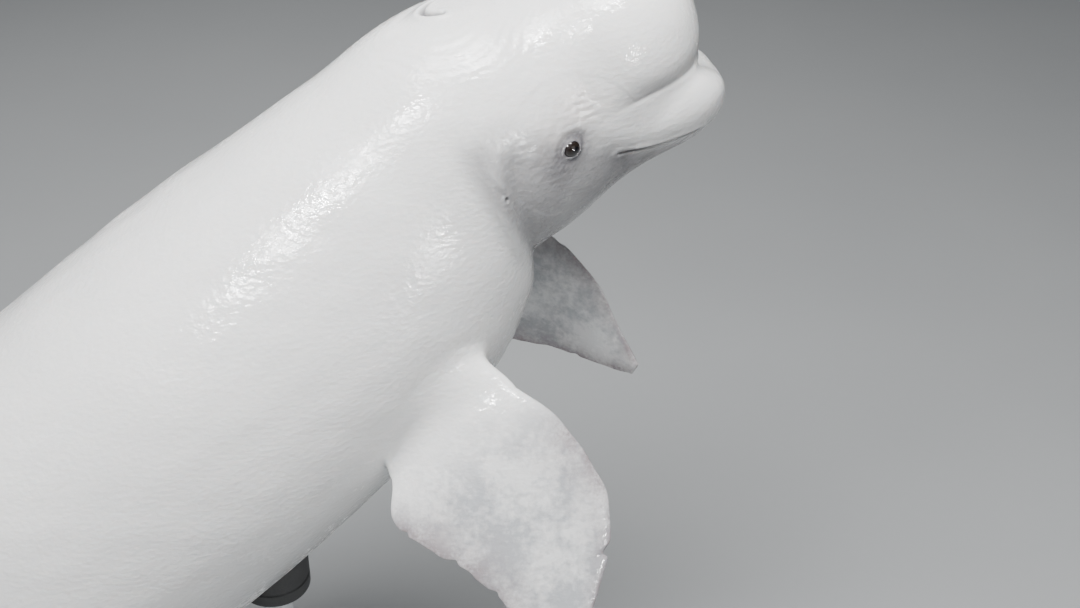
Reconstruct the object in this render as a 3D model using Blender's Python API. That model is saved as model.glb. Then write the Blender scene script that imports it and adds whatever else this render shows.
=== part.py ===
"""Life-size still model of an adult beluga whale, rising with its head up, on a plain display stand.

The whale is first shaped straight, nose towards +X, and its spine is then bent into the pose.
A station is a distance in metres back from the tip of the beak along the spine, and heights are
measured from the spine, which runs through the middle of the trunk. Metres, +Z up, right side at -Y.
"""

import math

import bmesh
import bpy
import numpy as np
from mathutils import Matrix, Vector

# Driving sizes
GAP = 0.0003
BEAK_DROP = 0.09
SPINE_ANCHOR = 1.72
SPINE_PLACE = (0.3669, 1.12)

# Stations where the trunk is divided
FAN_END = 0.20
HEAD_END = 0.50
NECK_END = 0.62
TORSO_END = 1.65
ABDOMEN_END = 2.70
TAIL_END = 3.98

# Trunk sections: station, half width, top, bottom, roundness exponent
TRUNK = [
    (0.12, 0.040, 0.020, -0.120, 2.0),
    (0.20, 0.098, 0.120, -0.165, 2.0),
    (0.28, 0.146, 0.200, -0.212, 2.05),
    (0.38, 0.186, 0.252, -0.250, 2.1),
    (0.50, 0.209, 0.268, -0.270, 2.1),
    (0.60, 0.228, 0.272, -0.322, 2.1),
    (0.72, 0.256, 0.282, -0.388, 2.1),
    (0.90, 0.294, 0.304, -0.420, 2.1),
    (1.12, 0.328, 0.330, -0.430, 2.1),
    (1.42, 0.350, 0.352, -0.430, 2.1),
    (1.75, 0.346, 0.358, -0.416, 2.1),
    (2.10, 0.314, 0.342, -0.378, 2.05),
    (2.45, 0.252, 0.300, -0.314, 2.0),
    (2.80, 0.178, 0.236, -0.240, 1.9),
    (3.15, 0.112, 0.172, -0.170, 1.8),
    (3.45, 0.068, 0.122, -0.116, 1.75),
    (3.70, 0.048, 0.078, -0.072, 1.8),
    (3.90, 0.036, 0.036, -0.034, 1.95),
    (4.00, 0.026, 0.014, -0.014, 2.0),
]

# Pitch of the spine above the horizon: station, degrees
PITCH = [(0.00, 15.0), (0.37, 15.0), (0.62, 41.0), (1.66, 41.0), (3.60, 7.0), (4.20, 7.0)]

# Forms of the head: centre station, centre height above the beak's tip, half sizes, exponent, blend, and
# how far apart a pair's centres lie from the middle
MELON = dict(station=0.182, rise=0.186, half=(0.168, 0.156, 0.164), power=2.15, blend=0.075)
UPPER_LIP = dict(station=0.170, rise=0.018, half=(0.177, 0.108, 0.066), power=2.6, blend=0.020)
LIP_SHOULDER = dict(
    station=0.160, rise=0.062, half=(0.120, 0.055, 0.066), power=2.3, blend=0.040, aside=0.076
)
LOWER_JAW = dict(station=0.184, rise=-0.026, half=(0.163, 0.090, 0.043), power=2.3, blend=0.010)

# Fold between head and neck: station of its top, lean towards the throat, depth, widths ahead and behind
FOLD_TOP = 0.457
FOLD_LEAN = 0.080
FOLD_DEPTH = 0.006
FOLD_WIDTHS = (0.046, 0.026)

# Places on the head: station, height above the beak's tip
EYE_PLACE = (0.320, 0.076)
EAR_PLACE = (0.472, 0.053)
BLOWHOLE_STATION = 0.46
EYE_RADIUS = 0.021
EYE_DEPTH = 0.0125

# Side outline of the mouth's line and of the melon's lower edge: station, height above the beak's tip
MOUTH_LINE = [(-0.03, -0.036), (0.02, -0.031), (0.08, -0.013), (0.15, -0.006), (0.20, 0.002), (0.238, 0.015)]
JAW_REAR = [(0.275, -0.02), (0.31, -0.08), (0.335, -0.16), (0.34, -0.26)]
MELON_EDGE = [(-0.04, 0.078), (0.05, 0.088), (0.13, 0.110), (0.21, 0.122), (0.27, 0.146)]
MELON_REAR = [(0.32, 0.19), (0.355, 0.26), (0.375, 0.36), (0.38, 0.48)]

HEAD_COLUMNS = 48

# Roots of flippers and flukes: stations, degrees from the back, reach and strength of the rounding
ROOTS = [(0.723, 1.032, 127.0, 153.0, 1.65, 1.0), (3.596, 3.916, 56.0, 136.0, 1.35, 0.5)]
KEEL_ANGLE = 4.0


def spline(rows):
    """Smooth curve through rows of (position, value, ...), as a function of position."""
    table = np.array(rows, float)
    x, y = table[:, 0], table[:, 1:]
    step = np.diff(x)
    count = len(x)
    system = np.eye(count)
    slopes = np.zeros_like(y)
    for i in range(1, count - 1):
        system[i, i - 1 : i + 2] = step[i - 1], 2 * (step[i - 1] + step[i]), step[i]
        slopes[i] = 6 * ((y[i + 1] - y[i]) / step[i] - (y[i] - y[i - 1]) / step[i - 1])
    bend = np.linalg.solve(system, slopes)

    def at(where):
        where = np.clip(np.asarray(where, float), x[0], x[-1])
        i = np.clip(np.searchsorted(x, where) - 1, 0, count - 2)
        h = step[i][..., None]
        right = (where - x[i])[..., None]
        left = h - right
        curve = (bend[i] * left**3 + bend[i + 1] * right**3) / (6 * h)
        return curve + (y[i] / h - bend[i] * h / 6) * left + (y[i + 1] / h - bend[i + 1] * h / 6) * right

    return at


trunk_at = spline(TRUNK)


def smooth_step(t):
    t = np.clip(t, 0.0, 1.0)
    return t * t * (3 - 2 * t)


def blend_union(first, second, width):
    """Union of two fields, rounded over the given width where they meet."""
    share = np.clip(0.5 + 0.5 * (second - first) / width, 0, 1)
    return second + (first - second) * share - width * share * (1 - share)


def trunk_field(p):
    """Roughly the distance outside the trunk, negative within it."""
    station = -p[..., 0]
    half, top, bottom, power = np.moveaxis(trunk_at(station), -1, 0)
    middle, tall = (top + bottom) / 2, (top - bottom) / 2
    across = np.abs(p[..., 1] / half) ** power
    up = np.abs((p[..., 2] - middle) / tall) ** power
    ring = ((across + up) ** (1 / power) - 1) * np.minimum(half, tall)
    return np.maximum(ring, TRUNK[0][0] - station)


def form_field(p, station, rise, half, power, blend, aside=0.0):
    """Roughly the distance outside one rounded form of the head, or a pair set aside from its middle."""
    centre = np.array([-station, aside, rise - BEAK_DROP])
    mirrored = np.stack([p[..., 0], np.abs(p[..., 1]), p[..., 2]], -1)
    share = np.abs((mirrored - centre) / np.array(half)) ** power
    return (share.sum(-1) ** (1 / power) - 1) * min(half)


def flesh_field(p):
    """Roughly the distance outside the head and trunk, with the head's forms blended in."""
    upper = blend_union(form_field(p, **UPPER_LIP), form_field(p, **LIP_SHOULDER), LIP_SHOULDER["blend"])
    lips = blend_union(upper, form_field(p, **LOWER_JAW), LOWER_JAW["blend"])
    trunk = blend_union(trunk_field(p), lips, 0.05)
    melon = form_field(p, **MELON)
    behind = smooth_step((-p[..., 0] - 0.10) / 0.16)
    width = UPPER_LIP["blend"] + (MELON["blend"] - UPPER_LIP["blend"]) * behind
    return blend_union(melon, trunk, width)


def cast(origins, directions, reach):
    """Outermost distance along each ray at which the flesh ends."""
    steps = np.linspace(0.001, reach, 90)
    samples = origins[..., None, :] + directions[..., None, :] * steps[:, None]
    inside = flesh_field(samples) < 0
    last = inside.shape[-1] - 1 - np.argmax(inside[..., ::-1], axis=-1)
    near, far = steps[last], steps[np.minimum(last + 1, len(steps) - 1)]
    for _ in range(14):
        middle = (near + far) / 2
        within = flesh_field(origins + directions * middle[..., None]) < 0
        near, far = np.where(within, middle, near), np.where(within, far, middle)
    return (near + far) / 2


def fold_depth(p):
    """Inward depth of the throat's fold, which leans forward as it climbs, and of the nape's."""
    station, low = -p[..., 0], smooth_step((0.02 - p[..., 2]) / 0.20)
    behind = station - FOLD_TOP - FOLD_LEAN * np.clip((0.02 - p[..., 2]) / 0.30, 0, 1.2) ** 2
    width = np.where(behind > 0, FOLD_WIDTHS[1], FOLD_WIDTHS[0])
    throat = FOLD_DEPTH * low * np.exp(-((behind / width) ** 2))
    nape = 0.005 * (1 - low) * np.exp(-(((station - 0.58) / 0.07) ** 2))
    return throat + nape


def flesh_points(origins, directions, reach=0.62):
    """Points of the surface along rays, with the folds sunk in."""
    found = origins + directions * cast(origins, directions, reach)[..., None]
    return found - directions * fold_depth(found)[..., None]


def ring_directions(angles):
    return np.stack([np.zeros_like(angles), np.sin(angles), np.cos(angles)], -1)


def axis_height(station):
    """Height of the line that the trunk's rays start from."""
    return 0.012 * (1 - smooth_step((station - FAN_END) / 0.3))


def round_roots(stations, angles):
    """Draws the grid in round each fin's root, so that the root's square border becomes rounded."""
    turned = np.where(angles > math.pi, 2 * math.pi - angles, angles)
    station_shift, angle_shift = np.zeros_like(stations), np.zeros_like(stations)
    for near, far, high, low, spread, amount in ROOTS:
        half_long, half_wide = (far - near) / 2, math.radians(low - high) / 2
        u = (stations - (near + far) / 2) / half_long
        v = (turned - math.radians(low + high) / 2) / half_wide
        size = np.maximum(np.maximum(np.abs(u), np.abs(v)), 1.0)
        fade = amount * smooth_step((spread - size) / (spread - 1))
        u, v = u / size, v / size
        station_shift += fade * u * (np.sqrt(1 - v * v / 2) - 1) * half_long
        angle_shift += fade * v * (np.sqrt(1 - u * u / 2) - 1) * half_wide
    return stations + station_shift, angles + np.where(angles > math.pi, -angle_shift, angle_shift)


def trunk_rings(stations, angles):
    """Grid of surface points, one row for each station."""
    stations, angles = np.meshgrid(np.asarray(stations, float), angles, indexing="ij")
    stations, angles = round_roots(stations, angles)
    origins = np.stack([-stations, np.zeros_like(stations), axis_height(stations)], -1)
    return flesh_points(origins, ring_directions(angles))


def snout_rings(turns, angles):
    """Rows of points on the front of the head, along rays that fan out from one point."""
    around = ring_directions(angles)
    turns = np.asarray(turns, float)[:, None, None]
    directions = np.array([1.0, 0, 0]) * np.cos(turns) + around * np.sin(turns)
    origins = np.broadcast_to([-FAN_END, 0.0, float(axis_height(FAN_END))], directions.shape)
    return flesh_points(origins, directions)


def trunk_angles():
    """Angles round the trunk from the back's midline, with a narrow pair beside it for the ridge."""
    half = np.concatenate([[0.0, KEEL_ANGLE], np.linspace(12.0, 180.0, 20)])
    return np.radians(np.concatenate([half, 360.0 - half[-2:0:-1]]))


# Spine in the pose
SPINE_STEP = 0.001
SPINE_STATIONS = np.arange(-0.3, 4.4, SPINE_STEP)


def pitch_at(station):
    """Spine's pitch in radians."""
    station = np.asarray(station, float)
    angle = np.full(station.shape, PITCH[0][1])
    for (near, before), (far, after) in zip(PITCH, PITCH[1:]):
        angle = angle + (after - before) * smooth_step((station - near) / (far - near))
    return np.radians(angle)


def spine_line():
    """World X and Z of the spine at each of its stations."""
    pitch = pitch_at(SPINE_STATIONS)
    back = -np.stack([np.cos(pitch), np.sin(pitch)], -1)
    line = np.cumsum((back[1:] + back[:-1]) / 2 * SPINE_STEP, axis=0)
    line = np.vstack([[0.0, 0.0], line])
    anchor = [np.interp(SPINE_ANCHOR, SPINE_STATIONS, line[:, k]) for k in (0, 1)]
    return line - anchor + SPINE_PLACE


SPINE = spine_line()


def pose(p, rigid=None):
    """Points of the straight whale carried into the pose, or turned as one with a station's section."""
    p = np.asarray(p, float)
    station = -p[..., 0] if rigid is None else np.full(p.shape[:-1], rigid)
    pitch = pitch_at(station)
    along = p[..., 0] + station
    x = np.interp(station, SPINE_STATIONS, SPINE[:, 0]) + along * np.cos(pitch) - p[..., 2] * np.sin(pitch)
    z = np.interp(station, SPINE_STATIONS, SPINE[:, 1]) + along * np.sin(pitch) + p[..., 2] * np.cos(pitch)
    return np.stack([x, p[..., 1], z], -1)


def pose_object(obj, rigid=None):
    """Carries a finished straight piece into the pose."""
    mesh = obj.data
    points = np.zeros(len(mesh.vertices) * 3)
    mesh.vertices.foreach_get("co", points)
    mesh.vertices.foreach_set("co", pose(points.reshape(-1, 3), rigid).ravel())
    mesh.update()


# Materials


def material(name, colour, roughness, metallic=0.0):
    made = bpy.data.materials.new(name)
    made.use_nodes = True
    shader = made.node_tree.nodes["Principled BSDF"]
    shader.inputs["Base Color"].default_value = (*colour, 1.0)
    shader.inputs["Roughness"].default_value = roughness
    shader.inputs["Metallic"].default_value = metallic
    made.diffuse_color = (*colour, 1.0)
    return made


# Mesh helpers


def add_mesh(name, points, faces, finish=None):
    """New object from points and faces, with its faces turned outwards."""
    mesh = bpy.data.meshes.new(name)
    mesh.from_pydata([tuple(map(float, p)) for p in points], [], faces)
    shape = bmesh.new()
    shape.from_mesh(mesh)
    bmesh.ops.recalc_face_normals(shape, faces=shape.faces)
    if shape.calc_volume(signed=True) < 0:
        bmesh.ops.reverse_faces(shape, faces=shape.faces)
    bmesh.ops.triangulate(shape, faces=shape.faces)
    shape.to_mesh(mesh)
    shape.free()
    obj = bpy.data.objects.new(name, mesh)
    bpy.context.scene.collection.objects.link(obj)
    if finish:
        mesh.materials.append(finish)
    return obj


def ring_faces(rows, columns):
    """Quads between closed rings of points stored row after row."""
    faces = []
    for i in range(rows - 1):
        for j in range(columns):
            k = (j + 1) % columns
            faces.append((i * columns + j, i * columns + k, (i + 1) * columns + k, (i + 1) * columns + j))
    return faces


def add_tube(name, rings, finish, pole=None):
    """Closed body from rings, with flat ends, or with a pole point before the first ring."""
    rows, columns = rings.shape[:2]
    points = list(rings.reshape(-1, 3))
    faces = ring_faces(rows, columns)
    last = (rows - 1) * columns
    faces.append(tuple(range(last, last + columns)))
    if pole is None:
        faces.append(tuple(range(columns - 1, -1, -1)))
    else:
        points.append(pole)
        faces += [(len(points) - 1, (j + 1) % columns, j) for j in range(columns)]
    return add_mesh(name, points, faces, finish)


def boolean(obj, cutter, operation, solver="EXACT"):
    """Applies a Boolean with a closed mesh and removes that mesh's object."""
    modifier = obj.modifiers.new(operation, "BOOLEAN")
    modifier.operation = operation
    modifier.solver = solver
    modifier.object = cutter
    apply_modifiers(obj)
    bpy.data.objects.remove(cutter)


def apply_modifiers(obj):
    bpy.context.view_layer.update()
    graph = bpy.context.evaluated_depsgraph_get()
    mesh = bpy.data.meshes.new_from_object(obj.evaluated_get(graph))
    obj.modifiers.clear()
    old, obj.data = obj.data, mesh
    mesh.name = obj.name
    bpy.data.meshes.remove(old)


def keep_largest(obj):
    """Drops every closed surface but the largest."""
    shape = bmesh.new()
    shape.from_mesh(obj.data)
    left, groups = set(shape.faces), []
    while left:
        group, edge = set(), [left.pop()]
        while edge:
            face = edge.pop()
            group.add(face)
            for line in face.edges:
                for other in line.link_faces:
                    if other in left:
                        left.remove(other)
                        edge.append(other)
        groups.append(group)
    groups.sort(key=lambda g: sum(f.calc_area() for f in g))
    scraps = [f for g in groups[:-1] for f in g]
    bmesh.ops.delete(shape, geom=scraps, context="FACES")
    bmesh.ops.triangulate(shape, faces=shape.faces)
    shape.to_mesh(obj.data)
    shape.free()


def duplicate(obj, name):
    copy = bpy.data.objects.new(name, obj.data.copy())
    bpy.context.scene.collection.objects.link(copy)
    return copy


def grown(obj, distance):
    """Copy of a piece whose points are moved out along their normals."""
    copy = duplicate(obj, obj.name + "_grown")
    normals = [v.normal.copy() for v in copy.data.vertices]
    for vertex, normal in zip(copy.data.vertices, normals):
        vertex.co += normal * distance
    return copy


# Head


def side_curve(points, per_span=5):
    """Smooth line in the side view through (station, height above the beak's tip) points."""
    lengths = np.concatenate([[0], np.cumsum(np.linalg.norm(np.diff(points, axis=0), axis=1))])
    at = spline([(s, *p) for s, p in zip(lengths, points)])
    return at(np.linspace(0, lengths[-1], per_span * (len(points) - 1) + 1))


def side_prism(name, outline, half_width, shift=(0.0, 0.0)):
    """Solid of a side outline, drawn across the head from left to right."""
    points, count = [], len(outline)
    for y in (-half_width, half_width):
        for station, rise in outline:
            points.append((-station - shift[0], y, rise - BEAK_DROP + shift[1]))
    faces = [tuple(range(count)), tuple(range(2 * count - 1, count - 1, -1))]
    faces += [(i, (i + 1) % count, count + (i + 1) % count, count + i) for i in range(count)]
    return add_mesh(name, points, faces)


def offset_outline(curve, distance):
    """Side outline moved sideways along its length."""
    along = np.gradient(curve, axis=0)
    along /= np.linalg.norm(along, axis=1)[:, None]
    return curve + np.stack([-along[:, 1], along[:, 0]], -1) * distance


def surface_side_point(place, side):
    """Point of the head's side at a station and height, and its outward normal."""
    station, rise = place
    origin = np.array([-station, 0.0, rise - BEAK_DROP])

    def hit(offset_x, offset_z):
        start = origin + [offset_x, 0.0, offset_z]
        return flesh_points(start[None], np.array([[0.0, side, 0.0]]))[0]

    small = 0.004
    along = hit(small, 0) - hit(-small, 0)
    up = hit(0, small) - hit(0, -small)
    normal = np.cross(along, up)
    normal *= side * np.sign(normal[1]) / np.linalg.norm(normal)
    return hit(0, 0), normal


def surface_top_point(station):
    """Point of the back's midline at a station."""
    return trunk_rings([station], np.array([0.0]))[0, 0]


def facing(point, normal, up=(0.0, 0.0, 1.0)):
    """Matrix whose Z runs along the normal and Y as near as it can to up."""
    z = Vector(normal).normalized()
    x = Vector(up).cross(z).normalized()
    y = z.cross(x)
    turn = Matrix((x, y, z)).transposed().to_4x4()
    return Matrix.Translation(Vector(point)) @ turn


def ball(name, radius, matrix, segments=16, rings=12, finish=None):
    shape = bmesh.new()
    bmesh.ops.create_uvsphere(shape, u_segments=segments, v_segments=rings, radius=radius, matrix=matrix)
    mesh = bpy.data.meshes.new(name)
    shape.to_mesh(mesh)
    shape.free()
    if finish:
        mesh.materials.append(finish)
    obj = bpy.data.objects.new(name, mesh)
    bpy.context.scene.collection.objects.link(obj)
    return obj


def bent_tube(name, centres, radius, sides=8):
    """Closed tube of a few sides that follows a line of points, with pointed ends."""
    centres = np.asarray(centres, float)
    along = np.gradient(centres, axis=0)
    along /= np.linalg.norm(along, axis=1)[:, None]
    rings = []
    for centre, way in zip(centres, along):
        across = np.cross(way, [0.0, 0.3, 1.0])
        across /= np.linalg.norm(across)
        other = np.cross(way, across)
        turn = np.linspace(0, 2 * math.pi, sides, endpoint=False)[:, None]
        rings.append(centre + radius * (np.cos(turn) * across + np.sin(turn) * other))
    return add_tube(name, np.array(rings), None)


def lid_ring(name, matrix, half_long, half_high, thick, segments=24, sides=8):
    """Almond-shaped rim that stands round an eye."""
    turn = np.linspace(0, 2 * math.pi, segments, endpoint=False)
    points = []
    for t in turn:
        centre = Vector((half_long * math.cos(t), half_high * math.sin(t), 0))
        out = Vector((math.cos(t), math.sin(t), 0))
        size = thick * (0.75 + 0.35 * abs(math.sin(t)))
        for s in np.linspace(0, 2 * math.pi, sides, endpoint=False):
            local = centre + out * size * math.cos(s) + Vector((0, 0, size * math.sin(s)))
            points.append(matrix @ local)
    faces = ring_faces(segments, sides)
    last = (segments - 1) * sides
    for s in range(sides):
        k = (s + 1) % sides
        faces.append((last + s, last + k, k, s))
    return add_mesh(name, points, faces)


def make_head(skin, eye_finish):
    """Head with lids, blowhole and ears, parted into head, melon and lower jaw, and the two eyes."""
    angles = np.linspace(0, 2 * math.pi, HEAD_COLUMNS, endpoint=False)
    turns = np.radians(np.linspace(0, 90, 14)[1:-1])
    stations = np.linspace(FAN_END, HEAD_END, 12)
    stations[-1] -= GAP / 2
    rings = np.concatenate([snout_rings(turns, angles), trunk_rings(stations, angles)])
    pole = snout_rings([0.0], angles[:1])[0, 0]
    head = add_tube("head", rings, skin, pole)
    eyes = []
    for side, word in ((-1, "right"), (1, "left")):
        point, normal = surface_side_point(EYE_PLACE, side)
        rim = facing(point - normal * 0.001, normal)
        boolean(head, lid_ring("lid", rim, 0.0225, 0.0175, 0.0062), "UNION")
        seat = facing(point - normal * EYE_DEPTH, normal)
        boolean(head, ball("socket", EYE_RADIUS + GAP, seat), "DIFFERENCE")
        eyes.append(ball("eye_" + word, EYE_RADIUS, seat, finish=eye_finish))
        ear, outward = surface_side_point(EAR_PLACE, side)
        boolean(head, ball("ear_pit", 0.007, facing(ear + outward * 0.002, outward), 8, 6), "DIFFERENCE")
    boolean(head, blowhole_slit(), "DIFFERENCE")
    jaw = part_off(head, "lower_jaw", side_curve(MOUTH_LINE + JAW_REAR), (-0.04, -0.40), 1)
    melon = part_off(head, "melon", side_curve(MELON_EDGE + MELON_REAR), (-0.05, 0.60), -1)
    lip_groove(head, jaw)
    return [head, jaw, melon], eyes


def blowhole_slit():
    """Crescent cutter on top of the head, its ends pointing forwards."""
    centres = []
    for t in np.radians(np.linspace(-68, 68, 11)):
        radius = 0.034
        station = BLOWHOLE_STATION - 0.034 + radius * math.cos(t)
        y = radius * math.sin(t)
        angle = math.atan2(y, surface_top_point(station)[2])
        centres.append(trunk_rings([station], np.array([angle]))[0, 0])
    return bent_tube("slit", np.array(centres) - [0, 0, 0.001], 0.0055, 6)


def part_off(head, name, edge, corner, side):
    """Cuts the head along an edge seen from the side, and returns the piece beyond it as a new body."""
    close = [(edge[-1][0], corner[1]), corner]
    piece = duplicate(head, name)
    outer = offset_outline(edge, -side * GAP / 2)
    inner = offset_outline(edge, side * GAP / 2)
    boolean(piece, side_prism("keep", list(outer) + close, 0.4), "INTERSECT")
    wider = [(close[0][0] + GAP, close[0][1]), close[1]]
    boolean(head, side_prism("drop", list(inner) + wider, 0.41), "DIFFERENCE")
    keep_largest(piece)
    keep_largest(head)
    return piece


def lip_groove(head, jaw):
    """Rounds the mouth's line open between the lips on both sides."""
    line = side_curve(MOUTH_LINE[1:])
    path = []
    for side in (-1, 1):
        half = [surface_side_point(p, side)[0] for p in line[4:]]
        path = half[::-1] if side < 0 else path + half
    tip = flesh_points(
        np.array([[-0.12, 0.0, line[1][1] - BEAK_DROP]]), np.array([[1.0, 0.0, 0.0]])
    )[0]
    middle = len(path) // 2
    path = path[:middle] + [tip] + path[middle:]
    lengths = np.concatenate([[0], np.cumsum(np.linalg.norm(np.diff(path, axis=0), axis=1))])
    smooth = spline([(s, *p) for s, p in zip(lengths, path)])(np.linspace(0, lengths[-1], 41))
    for piece in (head, jaw):
        boolean(piece, bent_tube("groove", smooth, 0.0042, 6), "DIFFERENCE")
        keep_largest(piece)


# Trunk


def make_trunk(skin):
    """Neck, torso, abdomen and tail stock, with the rows of points that the fins grow from."""
    angles = trunk_angles()
    spans = [
        ("neck", HEAD_END, NECK_END, 6),
        ("torso", NECK_END, TORSO_END, 20),
        ("abdomen", TORSO_END, ABDOMEN_END, 14),
        ("tail_stock", ABDOMEN_END, TAIL_END, 20),
    ]
    pieces, grids = [], {}
    for name, near, far, count in spans:
        stations = np.linspace(near, far, count + 1)
        grids[name] = trunk_rings(stations, angles)
        stations[0] += GAP / 2
        if name != "tail_stock":
            stations[-1] -= GAP / 2
        pieces.append(add_tube(name, trunk_rings(stations, angles), skin))
    return pieces, grids


def grid_normals(grid):
    """Outward normals of a grid of rings."""
    along = np.gradient(grid, axis=0)
    around = np.roll(grid, -1, axis=1) - np.roll(grid, 1, axis=1)
    normal = np.cross(around, along)
    return normal / np.linalg.norm(normal, axis=-1)[..., None]


# Fins


def root_patch(grid, rows, columns):
    """Patch of a trunk's grid that a fin grows from, laid front to back and from its upper edge down."""
    first, last = rows
    high, low = columns
    step = 1 if low >= high else -1
    index = np.arange(high, low + step, step)
    normals = grid_normals(grid)
    return grid[first : last + 1][:, index], normals[first : last + 1][:, index]


def patch_loop(rows, columns):
    """Row and column of each point on a patch's border: front edge down, back, and up again."""
    loop = [(0, j) for j in range(columns)]
    loop += [(i, columns - 1) for i in range(1, rows)]
    loop += [(rows - 1, j) for j in range(columns - 2, -1, -1)]
    loop += [(i, 0) for i in range(rows - 2, 0, -1)]
    return loop


def loop_turns(rows, columns, nose=38.0, heel=24.0):
    """Angle round a fin's section for each border point: 0 at the leading edge, 180 at the trailing."""
    over = np.linspace(-nose, nose, columns)
    under = np.linspace(nose, 180 - heel, rows)[1:]
    behind = np.linspace(180 - heel, 180 + heel, columns)[1:]
    above = np.linspace(180 + heel, 360 - nose, rows)[1:-1]
    return np.radians(np.concatenate([over, under, behind, above]))


def fin_section(turns, thick):
    """Share of the chord behind the leading edge and height above it, for each point of a section."""
    back = (1 - np.cos(turns)) / 2
    height = -np.sin(turns) * thick / 2 * (1 - 0.62 * back) * 1.25
    return back, height


def fin_rings(turns, frames, edges, thickness, ripple=None):
    """Rings of a fin at the given frames: centre, forward and upward directions for each share of span."""
    rings = []
    for share, (centre, forward, up) in frames:
        lead, trail = edges(share)
        back, height = fin_section(turns, thickness(share))
        chord = lead + (trail - lead) * back
        if ripple is not None:
            chord = chord + ripple(share) * back**3
        rings.append(centre - forward * chord[:, None] + up * height[:, None])
    return np.array(rings)


def fillet(border, inward, first, outward, flare, steps):
    """Rings that sweep from the patch's border up to a fin's first ring."""
    reach = np.linalg.norm(first - border, axis=1)[:, None]
    leave = border + inward * reach * flare
    arrive = first - outward * reach * 0.45
    rings = []
    for t in np.linspace(0, 1, steps + 2)[1:-1]:
        rings.append(
            (1 - t) ** 3 * border + 3 * (1 - t) ** 2 * t * leave + 3 * (1 - t) * t**2 * arrive + t**3 * first
        )
    return np.array(rings)


def add_fin(name, patch, normals, rings, outward, finish, flare=0.35, steps=3):
    """Closed fin whose root lies a gap above its patch of the trunk."""
    rows, columns = patch.shape[:2]
    base = patch + normals * GAP
    loop = patch_loop(rows, columns)
    border = np.array([base[i, j] for i, j in loop])
    lift = np.array([normals[i, j] for i, j in loop])
    inward = base.reshape(-1, 3).mean(0) - border
    inward -= (inward * lift).sum(1)[:, None] * lift
    inward /= np.linalg.norm(inward, axis=1)[:, None]
    inward = inward * math.cos(0.45) + lift * math.sin(0.45)
    sweep = fillet(border, inward, rings[0], outward, flare, steps)
    points = list(base.reshape(-1, 3))
    ids = [[i * columns + j for i, j in loop]]
    for ring in np.concatenate([sweep, rings]):
        ids.append(list(range(len(points), len(points) + len(loop))))
        points += list(ring)
    faces = []
    for i in range(rows - 1):
        for j in range(columns - 1):
            a = i * columns + j
            faces.append((a, a + 1, a + columns + 1, a + columns))
    count = len(loop)
    lead = (columns - 1) // 2
    under = range(lead, lead + count // 2)
    for near, far in zip(ids, ids[1:]):
        for k in range(count):
            m = (k + 1) % count
            if k in under:
                faces += [(near[k], far[k], far[m]), (near[k], far[m], near[m])]
            else:
                faces += [(near[k], far[k], near[m]), (far[k], far[m], near[m])]
    tip = ids[-1]
    for k in range(count // 2):
        strip = [tip[(lead + k) % count], tip[(lead + k + 1) % count]]
        strip += [tip[(lead - k - 1) % count], tip[(lead - k) % count]]
        faces.append(tuple(dict.fromkeys(strip)))
    return add_mesh(name, points, faces, finish)


# Flippers
FLIPPER_ROWS = (2, 8)
FLIPPER_COLUMNS = (15, 18)
FLIPPER_STATION = 1.10
FLIPPER_LENGTH = 0.53
FLIPPER_CHORD = 0.38
FLIPPER_THICK = 0.056
FLIPPER_SHARES = (0.16, 0.25, 0.36, 0.48, 0.60, 0.71, 0.81, 0.90, 0.96, 1.0)

# Direction of the span and of the leading edge in the straight whale, how far forward the blade bows,
# and how far the tip curls
FLIPPER_POSES = {
    "right": dict(side=-1, span=(-0.16, -0.62, -0.77), chord=(0.94, 0.04, -0.34), bow=0.0, curl=0.03),
    "left": dict(side=1, span=(0.50, -0.19, -0.84), chord=(0.73, -0.20, 0.65), bow=0.09, curl=0.09),
}

# Paddle outline: share of length, leading and trailing edge as shares of the chord
FLIPPER_EDGES = [
    (0.10, -0.37, 0.39),
    (0.20, -0.42, 0.43),
    (0.32, -0.48, 0.51),
    (0.45, -0.50, 0.46),
    (0.60, -0.505, 0.345),
    (0.70, -0.465, 0.28),
    (0.80, -0.37, 0.22),
    (0.90, -0.22, 0.15),
    (1.00, -0.07, 0.03),
]


def unit(v):
    v = np.asarray(v, float)
    return v / np.linalg.norm(v)


def flipper_frames(root, normal, side, span, chord, bow, curl):
    """Frames along a flipper that leaves the body square and bends to its own direction."""
    span, chord = unit(span), unit(chord)
    middle = root + unit(normal) * 0.10 + span * 0.10 + np.array([bow, 0.0, 0.0])
    palm = unit(np.cross(span, chord) * -side)
    end = root + span * FLIPPER_LENGTH - palm * curl
    frames = []
    for share in FLIPPER_SHARES:
        centre = (1 - share) ** 2 * root + 2 * (1 - share) * share * middle + share**2 * end
        way = unit((1 - share) * (middle - root) + share * (end - middle))
        turn = smooth_step(share / 0.7)
        forward = np.array([1.0, 0.0, 0.0]) * (1 - turn) + chord * turn
        forward = unit(forward - way * forward.dot(way))
        up = np.cross(way, forward) * -side
        frames.append((share, (centre, forward, up)))
    return frames


def flipper_edges(share):
    lead, trail = spline(FLIPPER_EDGES)(np.array(share))
    return lead * FLIPPER_CHORD, trail * FLIPPER_CHORD


def flipper_thickness(share):
    return FLIPPER_THICK * (1 - 0.80 * smooth_step(share / 1.05)) + 0.003


def flipper_shape(grid, spec):
    """Rings of a flipper, the patch of torso it grows from and that patch's normals."""
    columns = grid.shape[1]
    high, low = FLIPPER_COLUMNS
    if spec["side"] < 0:
        high, low = columns - high, columns - low
    patch, normals = root_patch(grid, FLIPPER_ROWS, (high, low))
    root = patch.reshape(-1, 3).mean(0)
    frames = flipper_frames(root, normals.reshape(-1, 3).mean(0), **spec)
    turns = loop_turns(*patch.shape[:2])
    return fin_rings(turns, frames, flipper_edges, flipper_thickness), patch, normals


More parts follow.
